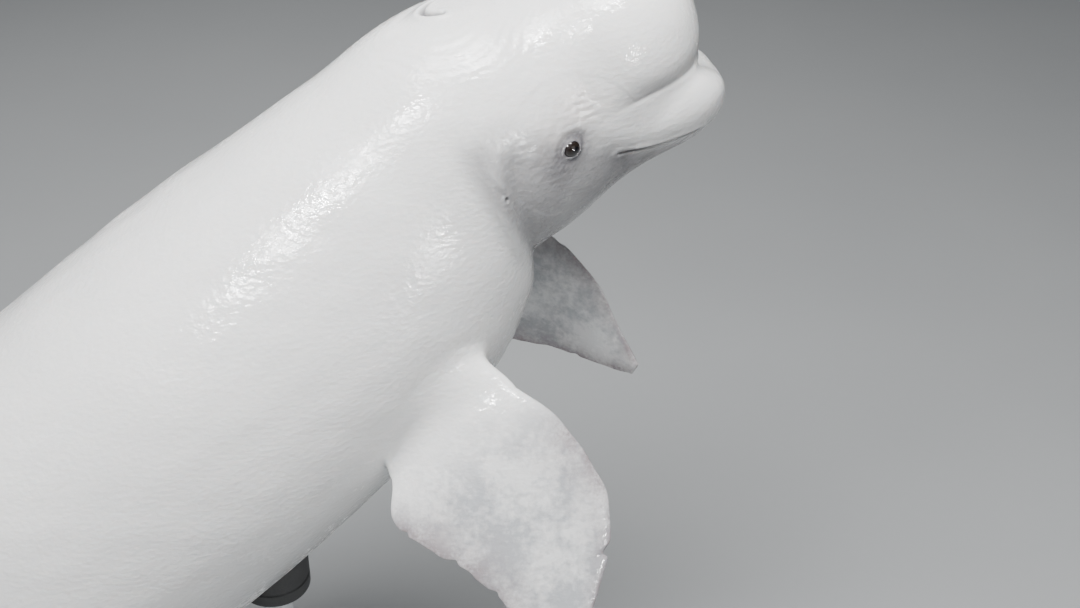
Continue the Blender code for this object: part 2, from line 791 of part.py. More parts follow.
def make_flipper(word, grid, skin):
    """One flipper on the torso's side, its blade swung to its own direction."""
    rings, patch, normals = flipper_shape(grid, FLIPPER_POSES[word])
    outward = unit(rings[1].mean(0) - rings[0].mean(0))
    return add_fin("flipper_" + word, patch, normals, rings, outward, skin)


# Flukes
FLUKE_ROWS = (14, 19)
FLUKE_COLUMNS = (7, 16)
FLUKE_HALF_SPAN = 0.50

# Outline: share of the half span, stations of the leading and trailing edge
FLUKE_EDGES = [
    (0.10, 3.625, 3.955),
    (0.20, 3.650, 4.020),
    (0.35, 3.705, 4.062),
    (0.55, 3.800, 4.080),
    (0.75, 3.905, 4.078),
    (0.90, 3.985, 4.066),
    (1.00, 4.040, 4.058),
]


def fluke_edges(share):
    return tuple(spline(FLUKE_EDGES)(np.array(share)))


def fluke_thickness(share):
    return 0.046 * (1 - share) ** 0.8 + 0.006


def make_fluke(name, grid, side, skin):
    columns = grid.shape[1]
    high, low = FLUKE_COLUMNS
    if side < 0:
        high, low = columns - high, columns - low
    patch, normals = root_patch(grid, FLUKE_ROWS, (high, low))
    frames = []
    for share in (0.16, 0.26, 0.38, 0.50, 0.62, 0.74, 0.84, 0.92, 0.97, 1.0):
        centre = np.array([0.0, side * share * FLUKE_HALF_SPAN, -0.012 * share**2])
        frames.append((share, (centre, np.array([1.0, 0, 0]), np.array([0, 0, 1.0]))))
    turns = loop_turns(patch.shape[0], patch.shape[1])
    rings = fin_rings(turns, frames, fluke_edges, fluke_thickness)
    return add_fin(name, patch, normals, rings, np.array([0, side, 0.0]), skin, flare=0.4)


# Ridge on the back


def make_ridge(grid, skin):
    """Low ridge in place of a fin, with shallow scallops, along the abdomen's midline."""
    first, last = 2, 12
    index = [-1, 0, 1]
    base = grid[first : last + 1][:, index]
    normals = grid_normals(grid)[first : last + 1][:, index]
    count = len(base)
    share = np.linspace(0, 1, count)
    height = 0.020 * np.sin(math.pi * share) ** 0.7 * (1 + 0.12 * np.cos(share * 34.0)) + 0.002
    rise = np.stack([0.10 * height, height, 0.10 * height], 1) + 0.0008
    under = base + normals * GAP
    over = base + normals * (GAP + rise)[..., None]
    points = list(under.reshape(-1, 3)) + list(over.reshape(-1, 3))
    shift = count * 3
    faces = []
    for i in range(count - 1):
        for j in range(2):
            a = i * 3 + j
            faces.append((a, a + 1, a + 4, a + 3))
            faces.append((a + shift, a + 3 + shift, a + 4 + shift, a + 1 + shift))
    rim = patch_loop(count, 3)
    for (i, j), (m, n) in zip(rim, rim[1:] + rim[:1]):
        a, b = i * 3 + j, m * 3 + n
        faces.append((a, b, b + shift, a + shift))
    return add_mesh("dorsal_ridge", points, faces, skin)


# Stand
BASE_LONG = 2.20
BASE_WIDE = 1.08
BASE_THICK = 0.050
BASE_CENTRE = 0.32
ROD_RADIUS = 0.034
COLLAR_RADIUS = 0.075
COLLAR_HEIGHT = 0.030
CRADLE_RADIUS = 0.078
CRADLE_HEIGHT = 0.105
ROD_STATIONS = {"front": 1.46, "rear": 2.56}


def drum(name, centre, radius, low, high, segments, finish, bevel=0.0):
    """Upright cylinder between two heights, with an optional chamfer."""
    shape = bmesh.new()
    matrix = Matrix.Translation((centre[0], centre[1], (low + high) / 2))
    bmesh.ops.create_cone(
        shape,
        cap_ends=True,
        segments=segments,
        radius1=radius,
        radius2=radius,
        depth=high - low,
        matrix=matrix,
    )
    if bevel:
        rims = [e for e in shape.edges if abs(e.verts[0].co.z - e.verts[1].co.z) < 1e-6]
        bmesh.ops.bevel(shape, geom=rims, offset=bevel, segments=1, affect="EDGES")
    mesh = bpy.data.meshes.new(name)
    shape.to_mesh(mesh)
    shape.free()
    if finish:
        mesh.materials.append(finish)
    obj = bpy.data.objects.new(name, mesh)
    bpy.context.scene.collection.objects.link(obj)
    return obj


def make_base(finish):
    """Flat base with round ends and a chamfered top edge."""
    points = []
    straight = BASE_LONG / 2 - BASE_WIDE / 2
    for end, start in ((1, -90), (-1, 90)):
        for t in np.radians(np.linspace(start, start + 180, 17)):
            x = BASE_CENTRE + end * straight + BASE_WIDE / 2 * math.cos(t)
            points.append((x, BASE_WIDE / 2 * math.sin(t), 0.0))
    shape = bmesh.new()
    face = shape.faces.new([shape.verts.new(p) for p in points])
    grown_up = bmesh.ops.extrude_face_region(shape, geom=[face])
    lifted = [v for v in grown_up["geom"] if isinstance(v, bmesh.types.BMVert)]
    bmesh.ops.translate(shape, verts=lifted, vec=(0, 0, BASE_THICK))
    rims = [e for e in shape.edges if all(v.co.z > BASE_THICK / 2 for v in e.verts)]
    bmesh.ops.bevel(shape, geom=rims, offset=0.012, segments=2, affect="EDGES")
    bmesh.ops.recalc_face_normals(shape, faces=shape.faces)
    mesh = bpy.data.meshes.new("stand_base")
    shape.to_mesh(mesh)
    shape.free()
    mesh.materials.append(finish)
    obj = bpy.data.objects.new("stand_base", mesh)
    bpy.context.scene.collection.objects.link(obj)
    return obj


def underside(station):
    """World point of the belly's midline at a station."""
    return pose(trunk_rings([station], np.array([math.pi]))[0, 0])


def make_stand(bodies, paint, steel, pad):
    """Base, two rods, their collars, and cradles cut to the belly."""
    pieces = [make_base(paint)]
    for word, station in ROD_STATIONS.items():
        touch = underside(station)
        place = (touch[0], 0.0)
        body = bodies[word]
        top = BASE_THICK + GAP
        collar = drum(
            "stand_collar_" + word, place, COLLAR_RADIUS, top, top + COLLAR_HEIGHT, 28, steel, bevel=0.006
        )
        cradle_low = touch[2] - CRADLE_HEIGHT
        rod = drum(
            "stand_rod_" + word, place, ROD_RADIUS, top + COLLAR_HEIGHT + GAP, cradle_low - GAP, 24, steel
        )
        cradle = drum(
            "stand_cradle_" + word, place, CRADLE_RADIUS, cradle_low, touch[2] + 0.20, 28, pad
        )
        boolean(cradle, grown(body, GAP * 1.5), "DIFFERENCE")
        keep_lowest(cradle)
        pieces += [collar, rod, cradle]
    return pieces


def keep_lowest(obj):
    """Keeps only the closed surface that reaches lowest."""
    shape = bmesh.new()
    shape.from_mesh(obj.data)
    left, groups = set(shape.verts), []
    while left:
        group, edge = set(), [left.pop()]
        while edge:
            vertex = edge.pop()
            group.add(vertex)
            for line in vertex.link_edges:
                other = line.other_vert(vertex)
                if other in left:
                    left.remove(other)
                    edge.append(other)
        groups.append(group)
    groups.sort(key=lambda g: min(v.co.z for v in g))
    bmesh.ops.delete(shape, geom=[v for g in groups[1:] for v in g], context="VERTS")
    bmesh.ops.triangulate(shape, faces=shape.faces)
    shape.to_mesh(obj.data)
    shape.free()


def shade(obj, angle=40.0):
    obj.data.shade_smooth()
    obj.data.set_sharp_from_angle(angle=math.radians(angle))


def main():
    for old in list(bpy.data.objects):
        bpy.data.objects.remove(old)
    skin = material("white_skin", (0.83, 0.83, 0.82), 0.28)
    eye = material("dark_eye", (0.015, 0.012, 0.012), 0.08)
    paint = material("stand_paint", (0.20, 0.21, 0.22), 0.45)
    steel = material("stand_steel", (0.60, 0.61, 0.62), 0.30, 1.0)
    pad = material("stand_pad", (0.05, 0.05, 0.055), 0.70)

    head_pieces, eyes = make_head(skin, eye)
    trunk_pieces, grids = make_trunk(skin)
    flippers = [make_flipper(word, grids["torso"], skin) for word in FLIPPER_POSES]
    tail_fins = [
        make_fluke("fluke_right", grids["tail_stock"], -1, skin),
        make_fluke("fluke_left", grids["tail_stock"], 1, skin),
        make_ridge(grids["abdomen"], skin),
    ]
    whale = head_pieces + eyes + trunk_pieces + tail_fins
    for obj in whale:
        pose_object(obj)
    for obj in flippers:
        pose_object(obj, FLIPPER_STATION)
    by_name = {obj.name: obj for obj in trunk_pieces}
    stand = make_stand({"front": by_name["torso"], "rear": by_name["abdomen"]}, paint, steel, pad)
    for obj in whale + flippers + stand:
        shade(obj)


main()
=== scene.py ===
"""Looks of a life-size beluga whale model on its display stand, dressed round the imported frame.

The whale is shaped straight, nose towards +X, from the same named sizes as its solids, and its spine is
then bent into the pose. A station is a distance in metres back from the beak's tip along the spine, and
a rise is a height above that tip. Metres, +Z up, the whale's right side at -Y.
"""

import logging
import math
from collections.abc import Callable, Iterator, Sequence
from contextlib import contextmanager
from dataclasses import dataclass, field
from enum import Enum
from functools import cache

import bmesh
import bpy
import numpy as np
from mathutils import Matrix, Vector
from mathutils.bvhtree import BVHTree
from mathutils.kdtree import KDTree


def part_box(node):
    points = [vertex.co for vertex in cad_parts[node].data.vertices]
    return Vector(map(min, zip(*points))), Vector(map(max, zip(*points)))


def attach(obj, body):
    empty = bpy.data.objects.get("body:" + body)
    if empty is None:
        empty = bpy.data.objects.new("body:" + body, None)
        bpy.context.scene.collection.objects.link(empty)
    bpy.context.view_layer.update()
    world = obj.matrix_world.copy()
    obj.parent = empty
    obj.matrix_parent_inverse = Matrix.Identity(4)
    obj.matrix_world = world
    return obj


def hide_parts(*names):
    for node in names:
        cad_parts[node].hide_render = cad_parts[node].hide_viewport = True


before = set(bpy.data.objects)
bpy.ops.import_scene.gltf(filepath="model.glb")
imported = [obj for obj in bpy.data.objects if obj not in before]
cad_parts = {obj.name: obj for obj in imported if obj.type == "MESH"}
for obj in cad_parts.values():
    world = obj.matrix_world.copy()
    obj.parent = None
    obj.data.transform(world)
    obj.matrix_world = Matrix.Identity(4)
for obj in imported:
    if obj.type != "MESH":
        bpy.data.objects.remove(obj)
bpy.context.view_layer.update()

Array = np.ndarray
Colour = tuple[float, float, float, float]
Material = bpy.types.Material
Mesh = bpy.types.Mesh
NodeTree = bpy.types.NodeTree
Object = bpy.types.Object
Rows = Sequence[Sequence[float]]
Shape = bmesh.types.BMesh
SkinLooks = tuple[Array | float, Array | float, Array | float]
Socket = bpy.types.NodeSocket
Triple = tuple[float, float, float]
log = logging.getLogger("beluga")

# Driving sizes shared with the solids
BEAK_DROP = 0.09
FAN_END = 0.20
NECK_END = 0.62
TAIL_END = 3.98
SPINE_ANCHOR = 1.72
SPINE_PLACE = (0.3669, 1.12)
FOLD_TOP = 0.457
FOLD_LEAN = 0.080
FOLD_DEPTH = 0.006
FOLD_WIDTHS = (0.046, 0.026)
EYE_RADIUS = 0.021
EYE_DEPTH = 0.0125

# Station and rise of the eyes and ears, and degrees by which the eyes' front corners are turned up
EYE_PLACE = (0.320, 0.076)
EYE_TILT = 36.0
EAR_PLACE = (0.472, 0.053)


class Side(Enum):
    """The whale's two sides, with the sign of their Y."""

    LEFT = 1
    RIGHT = -1

    @property
    def word(self) -> str:
        """Ending of this side's node names."""
        return self.name.lower()


# Curves and fields


def smooth_step(share: Array | float) -> Array:
    """Eases a share from 0 to 1 with flat ends."""
    share = np.clip(share, 0.0, 1.0)
    return share * share * (3 - 2 * share)


def bell(distance: Array | float, width: Array | float) -> Array:
    """Bell curve of a distance, 1 at its middle."""
    return np.exp(-((distance / width) ** 2))


def unit(vector: Array | Sequence[float]) -> Array:
    """Vector of length one in the same direction."""
    vector = np.asarray(vector, float)
    return vector / np.linalg.norm(vector)


class SmoothCurve:
    """Natural cubic curve through rows of (position, value, ...)."""

    def __init__(self, rows: Rows, fineness: int = 4000) -> None:
        """Solves the curve and tabulates it.

        Args:
            rows: Rows of a position followed by the values there, in rising order of position.
            fineness: Number of entries in the table that values are read from.
        """
        table = np.array(rows, float)
        x, y = table[:, 0], table[:, 1:]
        step = np.diff(x)
        count = len(x)
        system = np.eye(count)
        slopes = np.zeros_like(y)
        for i in range(1, count - 1):
            system[i, i - 1 : i + 2] = step[i - 1], 2 * (step[i - 1] + step[i]), step[i]
            slopes[i] = 6 * ((y[i + 1] - y[i]) / step[i] - (y[i] - y[i - 1]) / step[i - 1])
        bend = np.linalg.solve(system, slopes)
        self.positions = np.linspace(x[0], x[-1], fineness)
        i = np.clip(np.searchsorted(x, self.positions) - 1, 0, count - 2)
        h = step[i][:, None]
        right = (self.positions - x[i])[:, None]
        left = h - right
        self.values = (bend[i] * left**3 + bend[i + 1] * right**3) / (6 * h)
        self.values += (y[i] / h - bend[i] * h / 6) * left + (y[i + 1] / h - bend[i + 1] * h / 6) * right

    def __call__(self, where: Array | float) -> Array:
        """Values at positions, as a last axis."""
        return np.stack([np.interp(where, self.positions, v) for v in self.values.T], -1)


class Waves:
    """Seeded soft waves in space, built from a few crossing ripples."""

    def __init__(self, length: float, seed: int, stretch: Sequence[float] = (1.0, 1.0, 1.0)) -> None:
        """Draws the ripples.

        Args:
            length: Distance from crest to crest in metres.
            seed: Seed of the draw.
            stretch: How much longer the waves are along each axis.
        """
        draw = np.random.default_rng(seed)
        ways = draw.normal(size=(10, 3))
        ways /= np.linalg.norm(ways, axis=1)[:, None]
        sizes = draw.uniform(0.7, 1.5, (10, 1))
        self.ways = ways * sizes * (2 * math.pi / length) / np.array(stretch)
        self.phases = draw.uniform(0, 2 * math.pi, 10)

    def __call__(self, points: Array) -> Array:
        """Height of the waves at points, mostly between -1 and 1."""
        return np.sin(points @ self.ways.T + self.phases).sum(-1) / 3.2


# Objects and shapes


def new_object(name: str, data: bpy.types.ID) -> Object:
    """Object in the scene that holds a mesh, light or camera.

    Args:
        name: Name of the object.
        data: The mesh, light or camera.

    Returns:
        The object.
    """
    obj = bpy.data.objects.new(name, data)
    bpy.context.scene.collection.objects.link(obj)
    return obj


def circle_point(centre: Vector, radius: float, height: float, share: float) -> Triple:
    """Point of a level circle at a share of its turn, a height above the given centre."""
    turn = 2 * math.pi * share
    return centre.x + radius * math.cos(turn), centre.y + radius * math.sin(turn), centre.z + height


def join_rings(shape: Shape, rings: Sequence[Sequence[bmesh.types.BMVert]]) -> None:
    """Joins closed rings of a shape in order, as a fan where a ring has only one point.

    Args:
        shape: The shape.
        rings: Its rings, each of the same number of points or of one.
    """
    for near, far in zip(rings, rings[1:]):
        count = max(len(near), len(far))
        for k in range(count):
            m = (k + 1) % count
            corners = [near[k % len(near)], near[m % len(near)], far[m % len(far)], far[k % len(far)]]
            shape.faces.new(list(dict.fromkeys(corners)))


def shape_object(name: str, shape: Shape, sharp: float) -> Object:
    """Turns a closed shape into a smoothly shaded object.

    Args:
        name: Name of the mesh and the object.
        shape: The shape, which is freed.
        sharp: Degrees between two faces past which their edge stays sharp.

    Returns:
        The object.
    """
    bmesh.ops.recalc_face_normals(shape, faces=shape.faces)
    mesh = bpy.data.meshes.new(name)
    shape.to_mesh(mesh)
    shape.free()
    mesh.shade_smooth()
    mesh.set_sharp_from_angle(angle=math.radians(sharp))
    return new_object(name, mesh)


@contextmanager
def edited(mesh: Mesh) -> Iterator[Shape]:
    """Opens a mesh as a shape, and afterwards writes the shape back.

    Args:
        mesh: The mesh.

    Returns:
        The shape, within a with block.
    """
    shape = bmesh.new()
    shape.from_mesh(mesh)
    yield shape
    shape.to_mesh(mesh)
    shape.free()


def lathe(name: str, profile: Rows, centre: Vector, segments: int = 96) -> Object:
    """Turned piece about an upright axis.

    Args:
        name: Name of the object.
        profile: Rows of (radius, height) from the bottom's middle round the outside to the top's middle.
        centre: Point on the axis, whose height the profile's heights are added to.
        segments: Number of flats round the axis.

    Returns:
        The piece as one closed mesh.
    """
    shape = bmesh.new()
    rings = []
    for radius, height in profile:
        shares = [k / segments for k in range(segments if radius else 1)]
        rings.append([shape.verts.new(circle_point(centre, radius, height, share)) for share in shares])
    join_rings(shape, rings)
    return shape_object(name, shape, 35)


def rounded_edge(radius: float, height: float, size: float, steps: int) -> list[tuple[float, float]]:
    """Rows of a turned profile's rounded upper edge, from below upwards."""
    turns = [math.pi / 2 * k / steps for k in range(steps + 1)]
    return [(radius - size + size * math.cos(t), height - size + size * math.sin(t)) for t in turns]


# The whale's form


@dataclass(frozen=True)
class Form:
    """One rounded form of the head, or a mirrored pair that is set aside from its middle."""

    station: float
    rise: float
    half: Triple
    power: float
    blend: float
    aside: float = 0.0

    def outside(self, points: Array) -> Array:
        """Roughly the distance of points outside the form.

        Args:
            points: Points of the straight whale.

        Returns:
            The distances, negative inside.
        """
        centre = np.array([-self.station, self.aside, self.rise - BEAK_DROP])
        mirrored = np.stack([points[..., 0], np.abs(points[..., 1]), points[..., 2]], -1)
        share = np.abs((mirrored - centre) / np.array(self.half)) ** self.power
        return (share.sum(-1) ** (1 / self.power) - 1) * min(self.half)


@dataclass(frozen=True)
class FinRoot:
    """Patch of trunk that a fin grows from: stations, degrees from the back, and how it is rounded."""

    near: float
    far: float
    high: float
    low: float
    spread: float
    strength: float

    def shift(self, stations: Array, turned: Array) -> tuple[Array, Array]:
        """How far grid places move so that the patch's square border becomes rounded.

        Args:
            stations: Stations of the grid.
            turned: Angles from the back's midline in radians, 0 to pi on either side.

        Returns:
            Shifts of the stations and of the angles.
        """
        half_long = (self.far - self.near) / 2
        half_wide = math.radians(self.low - self.high) / 2
        u = (stations - (self.near + self.far) / 2) / half_long
        v = (turned - math.radians(self.low + self.high) / 2) / half_wide
        size = np.maximum(np.maximum(np.abs(u), np.abs(v)), 1.0)
        fade = self.strength * smooth_step((self.spread - size) / (self.spread - 1))
        u, v = u / size, v / size
        along = fade * u * (np.sqrt(1 - v * v / 2) - 1) * half_long
        return along, fade * v * (np.sqrt(1 - u * u / 2) - 1) * half_wide


FLIPPER_ROOT = FinRoot(0.723, 1.032, 127.0, 153.0, 1.65, 1.0)
FLUKE_ROOT = FinRoot(3.596, 3.916, 56.0, 136.0, 1.35, 0.5)


def blend_union(first: Array, second: Array, width: Array | float) -> Array:
    """Union of two fields, rounded over the given width where they meet."""
    share = np.clip(0.5 + 0.5 * (second - first) / width, 0, 1)
    return second + (first - second) * share - width * share * (1 - share)


@dataclass
class Flesh:
    """Head and trunk of the straight whale as fields, sampled along rays from inside."""

    # Station, half width, top, bottom, roundness
    sections: SmoothCurve = SmoothCurve([
        (0.12, 0.040, 0.020, -0.120, 2.0), (0.20, 0.098, 0.120, -0.165, 2.0),
        (0.28, 0.146, 0.200, -0.212, 2.05), (0.38, 0.186, 0.252, -0.250, 2.1),
        (0.50, 0.209, 0.268, -0.270, 2.1), (0.60, 0.228, 0.272, -0.322, 2.1),
        (0.72, 0.256, 0.282, -0.388, 2.1), (0.90, 0.294, 0.304, -0.420, 2.1),
        (1.12, 0.328, 0.330, -0.430, 2.1), (1.42, 0.350, 0.352, -0.430, 2.1),
        (1.75, 0.346, 0.358, -0.416, 2.1), (2.10, 0.314, 0.342, -0.378, 2.05),
        (2.45, 0.252, 0.300, -0.314, 2.0), (2.80, 0.178, 0.236, -0.240, 1.9),
        (3.15, 0.112, 0.172, -0.170, 1.8), (3.45, 0.068, 0.122, -0.116, 1.75),
        (3.70, 0.048, 0.078, -0.072, 1.8), (3.90, 0.036, 0.036, -0.034, 1.95),
        (4.00, 0.026, 0.014, -0.014, 2.0),
    ])
    melon: Form = Form(0.182, 0.186, (0.168, 0.156, 0.164), 2.15, 0.075)
    upper_lip: Form = Form(0.170, 0.018, (0.177, 0.108, 0.066), 2.6, 0.020)
    lip_shoulder: Form = Form(0.160, 0.062, (0.120, 0.055, 0.066), 2.3, 0.040, aside=0.076)
    lower_jaw: Form = Form(0.184, -0.026, (0.163, 0.090, 0.043), 2.3, 0.010)
    lips_blend: float = 0.05
    # Lengths of the rays, and how finely the surface is found along them
    trunk_reach: float = 0.62
    trunk_rounds: int = 26
    head_reach: float = 0.45
    head_steps: int = 56
    head_rounds: int = 15
    batch: int = 12000

    def trunk(self, points: Array) -> Array:
        """Roughly the distance of points outside the trunk.

        Args:
            points: Points of the straight whale.

        Returns:
            The distances, negative inside.
        """
        station = -points[..., 0]
        half, top, bottom, power = np.moveaxis(self.sections(station), -1, 0)
        middle, tall = (top + bottom) / 2, (top - bottom) / 2
        across = np.abs(points[..., 1] / half) ** power
        up = np.abs((points[..., 2] - middle) / tall) ** power
        ring = ((across + up) ** (1 / power) - 1) * np.minimum(half, tall)
        return np.maximum(ring, self.sections.positions[0] - station)

    def head(self, points: Array) -> Array:
        """Roughly the distance of points outside the head, with its forms blended into the trunk.

        Args:
            points: Points of the straight whale.

        Returns:
            The distances, negative inside.
        """
        lip, shoulder = self.upper_lip.outside(points), self.lip_shoulder.outside(points)
        upper = blend_union(lip, shoulder, self.lip_shoulder.blend)
        lips = blend_union(upper, self.lower_jaw.outside(points), self.lower_jaw.blend)
        trunk = blend_union(self.trunk(points), lips, self.lips_blend)
        behind = smooth_step((-points[..., 0] - 0.10) / 0.16)
        width = self.upper_lip.blend + (self.melon.blend - self.upper_lip.blend) * behind
        return blend_union(self.melon.outside(points), trunk, width)

    def cast(self, origins: Array, ways: Array) -> Array:
        """Surface points where rays leave the flesh for the last time.

        Args:
            origins: Points inside the flesh.
            ways: Unit directions of the rays.

        Returns:
            One surface point for each ray.
        """
        shape = origins.shape
        origins, ways = origins.reshape(-1, 3), ways.reshape(-1, 3)
        is_head = origins[:, 0] > -NECK_END - 0.001
        far = np.zeros(len(origins))
        for start in range(0, len(origins), self.batch):
            part = slice(start, start + self.batch)
            pick = np.flatnonzero(is_head[part]) + start
            if len(pick):
                far[pick] = self._last_exit(origins[pick], ways[pick])
        pick = np.flatnonzero(~is_head)
        ends = np.full(len(pick), 0.001), np.full(len(pick), self.trunk_reach)
        far[pick] = self._bisect(self.trunk, origins[pick], ways[pick], *ends, self.trunk_rounds)
        return (origins + ways * far[:, None]).reshape(shape)

    def _last_exit(self, origins: Array, ways: Array) -> Array:
        """Distance along each ray at which it leaves the head for the last time.

        Args:
            origins: Starts of the rays.
            ways: Their unit directions.

        Returns:
            The distances.
        """
        steps = np.linspace(0.002, self.head_reach, self.head_steps)
        inside = self.head(origins[:, None, :] + ways[:, None, :] * steps[:, None]) < 0
        last = inside.shape[-1] - 1 - np.argmax(inside[..., ::-1], axis=-1)
        near, far = steps[last], steps[np.minimum(last + 1, len(steps) - 1)]
        return self._bisect(self.head, origins, ways, near, far, self.head_rounds)

    @staticmethod
    def _bisect(
        outside: Callable[[Array], Array], origins: Array, ways: Array, near: Array, far: Array, rounds: int
    ) -> Array:
        """Halves the stretch between a point inside and one outside on each ray.

        Args:
            outside: Field that is negative inside.
            origins: Starts of the rays.
            ways: Unit directions of the rays.
            near: Distances known to be inside.
            far: Distances known to be outside.
            rounds: Number of halvings.

        Returns:
            Distances along the rays to the surface.
        """
        for _ in range(rounds):
            middle = (near + far) / 2
            within = outside(origins + ways * middle[:, None]) < 0
            near, far = np.where(within, middle, near), np.where(within, far, middle)
        return (near + far) / 2

    def settle(self, points: Array, rounds: int = 2, small: float = 0.0005) -> Array:
        """Moves points near the head's surface onto it.

        Args:
            points: Points a little off the surface.
            rounds: Number of corrections.
            small: Step over which the field's slope is taken.

        Returns:
            Points on the surface.
        """
        for _ in range(rounds):
            ends = [(points + small * axis, points - small * axis) for axis in np.eye(3)]
            slope = np.stack([self.head(far) - self.head(near) for far, near in ends], -1) / (2 * small)
            steep = np.maximum((slope**2).sum(-1), 1e-6)
            move = np.clip(self.head(points) / steep, -0.002, 0.002)
            points = points - slope * move[:, None]
        return points

    @staticmethod
    def axis_height(station: Array | float) -> Array:
        """Height of the line that the trunk's rays start from."""
        return 0.012 * (1 - smooth_step((station - FAN_END) / 0.3))

    def side_place(self, station: float, rise: float, side: Side, tilt: float = 0.0) -> "Place":
        """Place on the head's side.

        Args:
            station: Station of the place.
            rise: Its height above the beak's tip.
            side: Side of the head.
            tilt: Degrees by which the place's forward axis is turned up.

        Returns:
            The surface point there with its forward, upward and outward directions.
        """
        small = 0.004
        offsets = np.array([(0, 0), (small, 0), (-small, 0), (0, small), (0, -small)])
        start = np.array([-station, 0.0, rise - BEAK_DROP]) + np.insert(offsets, 1, 0.0, axis=1)
        hits = self.cast(start, np.tile([0.0, side.value, 0.0], (5, 1)))
        hits[:, 1] -= side.value * fold_depth(hits)
        out = np.cross(hits[1] - hits[2], hits[3] - hits[4])
        out = unit(out * side.value * np.sign(out[1]))
        up = unit(np.array([0, 0, 1.0]) - out * out[2])
        ahead = np.cross(out, up) * side.value
        turn = math.radians(tilt)
        leaned = ahead * math.cos(turn) + up * math.sin(turn)
        return Place(hits[0], leaned, np.cross(leaned, out) * side.value, out)


@dataclass(frozen=True)
class Place:
    """A point on the straight whale's surface with its forward, upward and outward directions."""

    point: Array
    ahead: Array
    up: Array
    out: Array

    def local(self, points: Array) -> tuple[Array, Array, Array]:
        """Distances of points ahead of, above and out from the place."""
        off = points - self.point
        return off @ self.ahead, off @ self.up, off @ self.out


def fold_depth(points: Array) -> Array:
    """Inward depth of the throat's fold, which leans forward as it climbs, and of the nape's.

    Args:
        points: Points of the straight whale.

    Returns:
        Their depths.
    """
    station, low = -points[..., 0], smooth_step((0.02 - points[..., 2]) / 0.20)
    behind = station - FOLD_TOP - FOLD_LEAN * np.clip((0.02 - points[..., 2]) / 0.30, 0, 1.2) ** 2
    throat = FOLD_DEPTH * low * bell(behind, np.where(behind > 0, FOLD_WIDTHS[1], FOLD_WIDTHS[0]))
    return throat + 0.005 * (1 - low) * bell(station - 0.58, 0.07)


@dataclass
class Spine:
    """The bent spine that carries the straight whale into the pose."""

    # Station and pitch above the horizon in degrees, eased between the rows
    pitches: Rows = (
        (0.00, 15.0), (0.37, 15.0), (0.62, 41.0), (1.66, 41.0), (3.60, 7.0), (4.20, 7.0),
    )
    step: float = 0.001

    def __post_init__(self) -> None:
        """Adds up the spine's line from its pitch."""
        self.stations = np.arange(-0.3, 4.4, self.step)
        pitch = self.pitch(self.stations)
        back = -np.stack([np.cos(pitch), np.sin(pitch)], -1)
        line = np.vstack([[0.0, 0.0], np.cumsum((back[1:] + back[:-1]) / 2 * self.step, axis=0)])
        anchor = [np.interp(SPINE_ANCHOR, self.stations, line[:, k]) for k in (0, 1)]
        self.line = line - anchor + SPINE_PLACE

    def pitch(self, station: Array) -> Array:
        """Pitch of the spine in radians.

        Args:
            station: Stations along the spine.

        Returns:
            Their pitches.
        """
        angle = np.full(np.shape(station), self.pitches[0][1])
        for (near, before), (far, after) in zip(self.pitches, self.pitches[1:]):
            angle = angle + (after - before) * smooth_step((station - near) / (far - near))
        return np.radians(angle)

    def pose(self, points: Array, rigid: Array | float | None = None) -> Array:
        """Carries points of the straight whale into the pose.

        Args:
            points: Points of the straight whale.
            rigid: Station that each point turns with as one, where it isn't its own.

        Returns:
            World points.
        """
        points = np.asarray(points, float)
        station = -points[..., 0] if rigid is None else np.broadcast_to(rigid, points.shape[:-1])
        pitch = self.pitch(station)
        along = points[..., 0] + station
        x = np.interp(station, self.stations, self.line[:, 0])
        z = np.interp(station, self.stations, self.line[:, 1])
        x = x + along * np.cos(pitch) - points[..., 2] * np.sin(pitch)
        z = z + along * np.sin(pitch) + points[..., 2] * np.cos(pitch)
        return np.stack([x, points[..., 1], z], -1)


# Fins


def loop_turns(rows: int, columns: int, nose: float = 38.0, heel: float = 24.0) -> Array:
    """Angle round a fin's section for each border point of its root.

    Args:
        rows: Grid rows of the root patch, front to back.
        columns: Its grid columns, from the upper edge down.
        nose: Degrees that the front edge takes on either side of the leading edge.
        heel: Degrees that the back edge takes on either side of the trailing edge.

    Returns:
        Angles in radians, 0 at the leading edge and pi at the trailing edge.
    """
    over = np.linspace(-nose, nose, columns)
    under = np.linspace(nose, 180 - heel, rows)[1:]
    behind = np.linspace(180 - heel, 180 + heel, columns)[1:]
    above = np.linspace(180 + heel, 360 - nose, rows)[1:-1]
    return np.radians(np.concatenate([over, under, behind, above]))


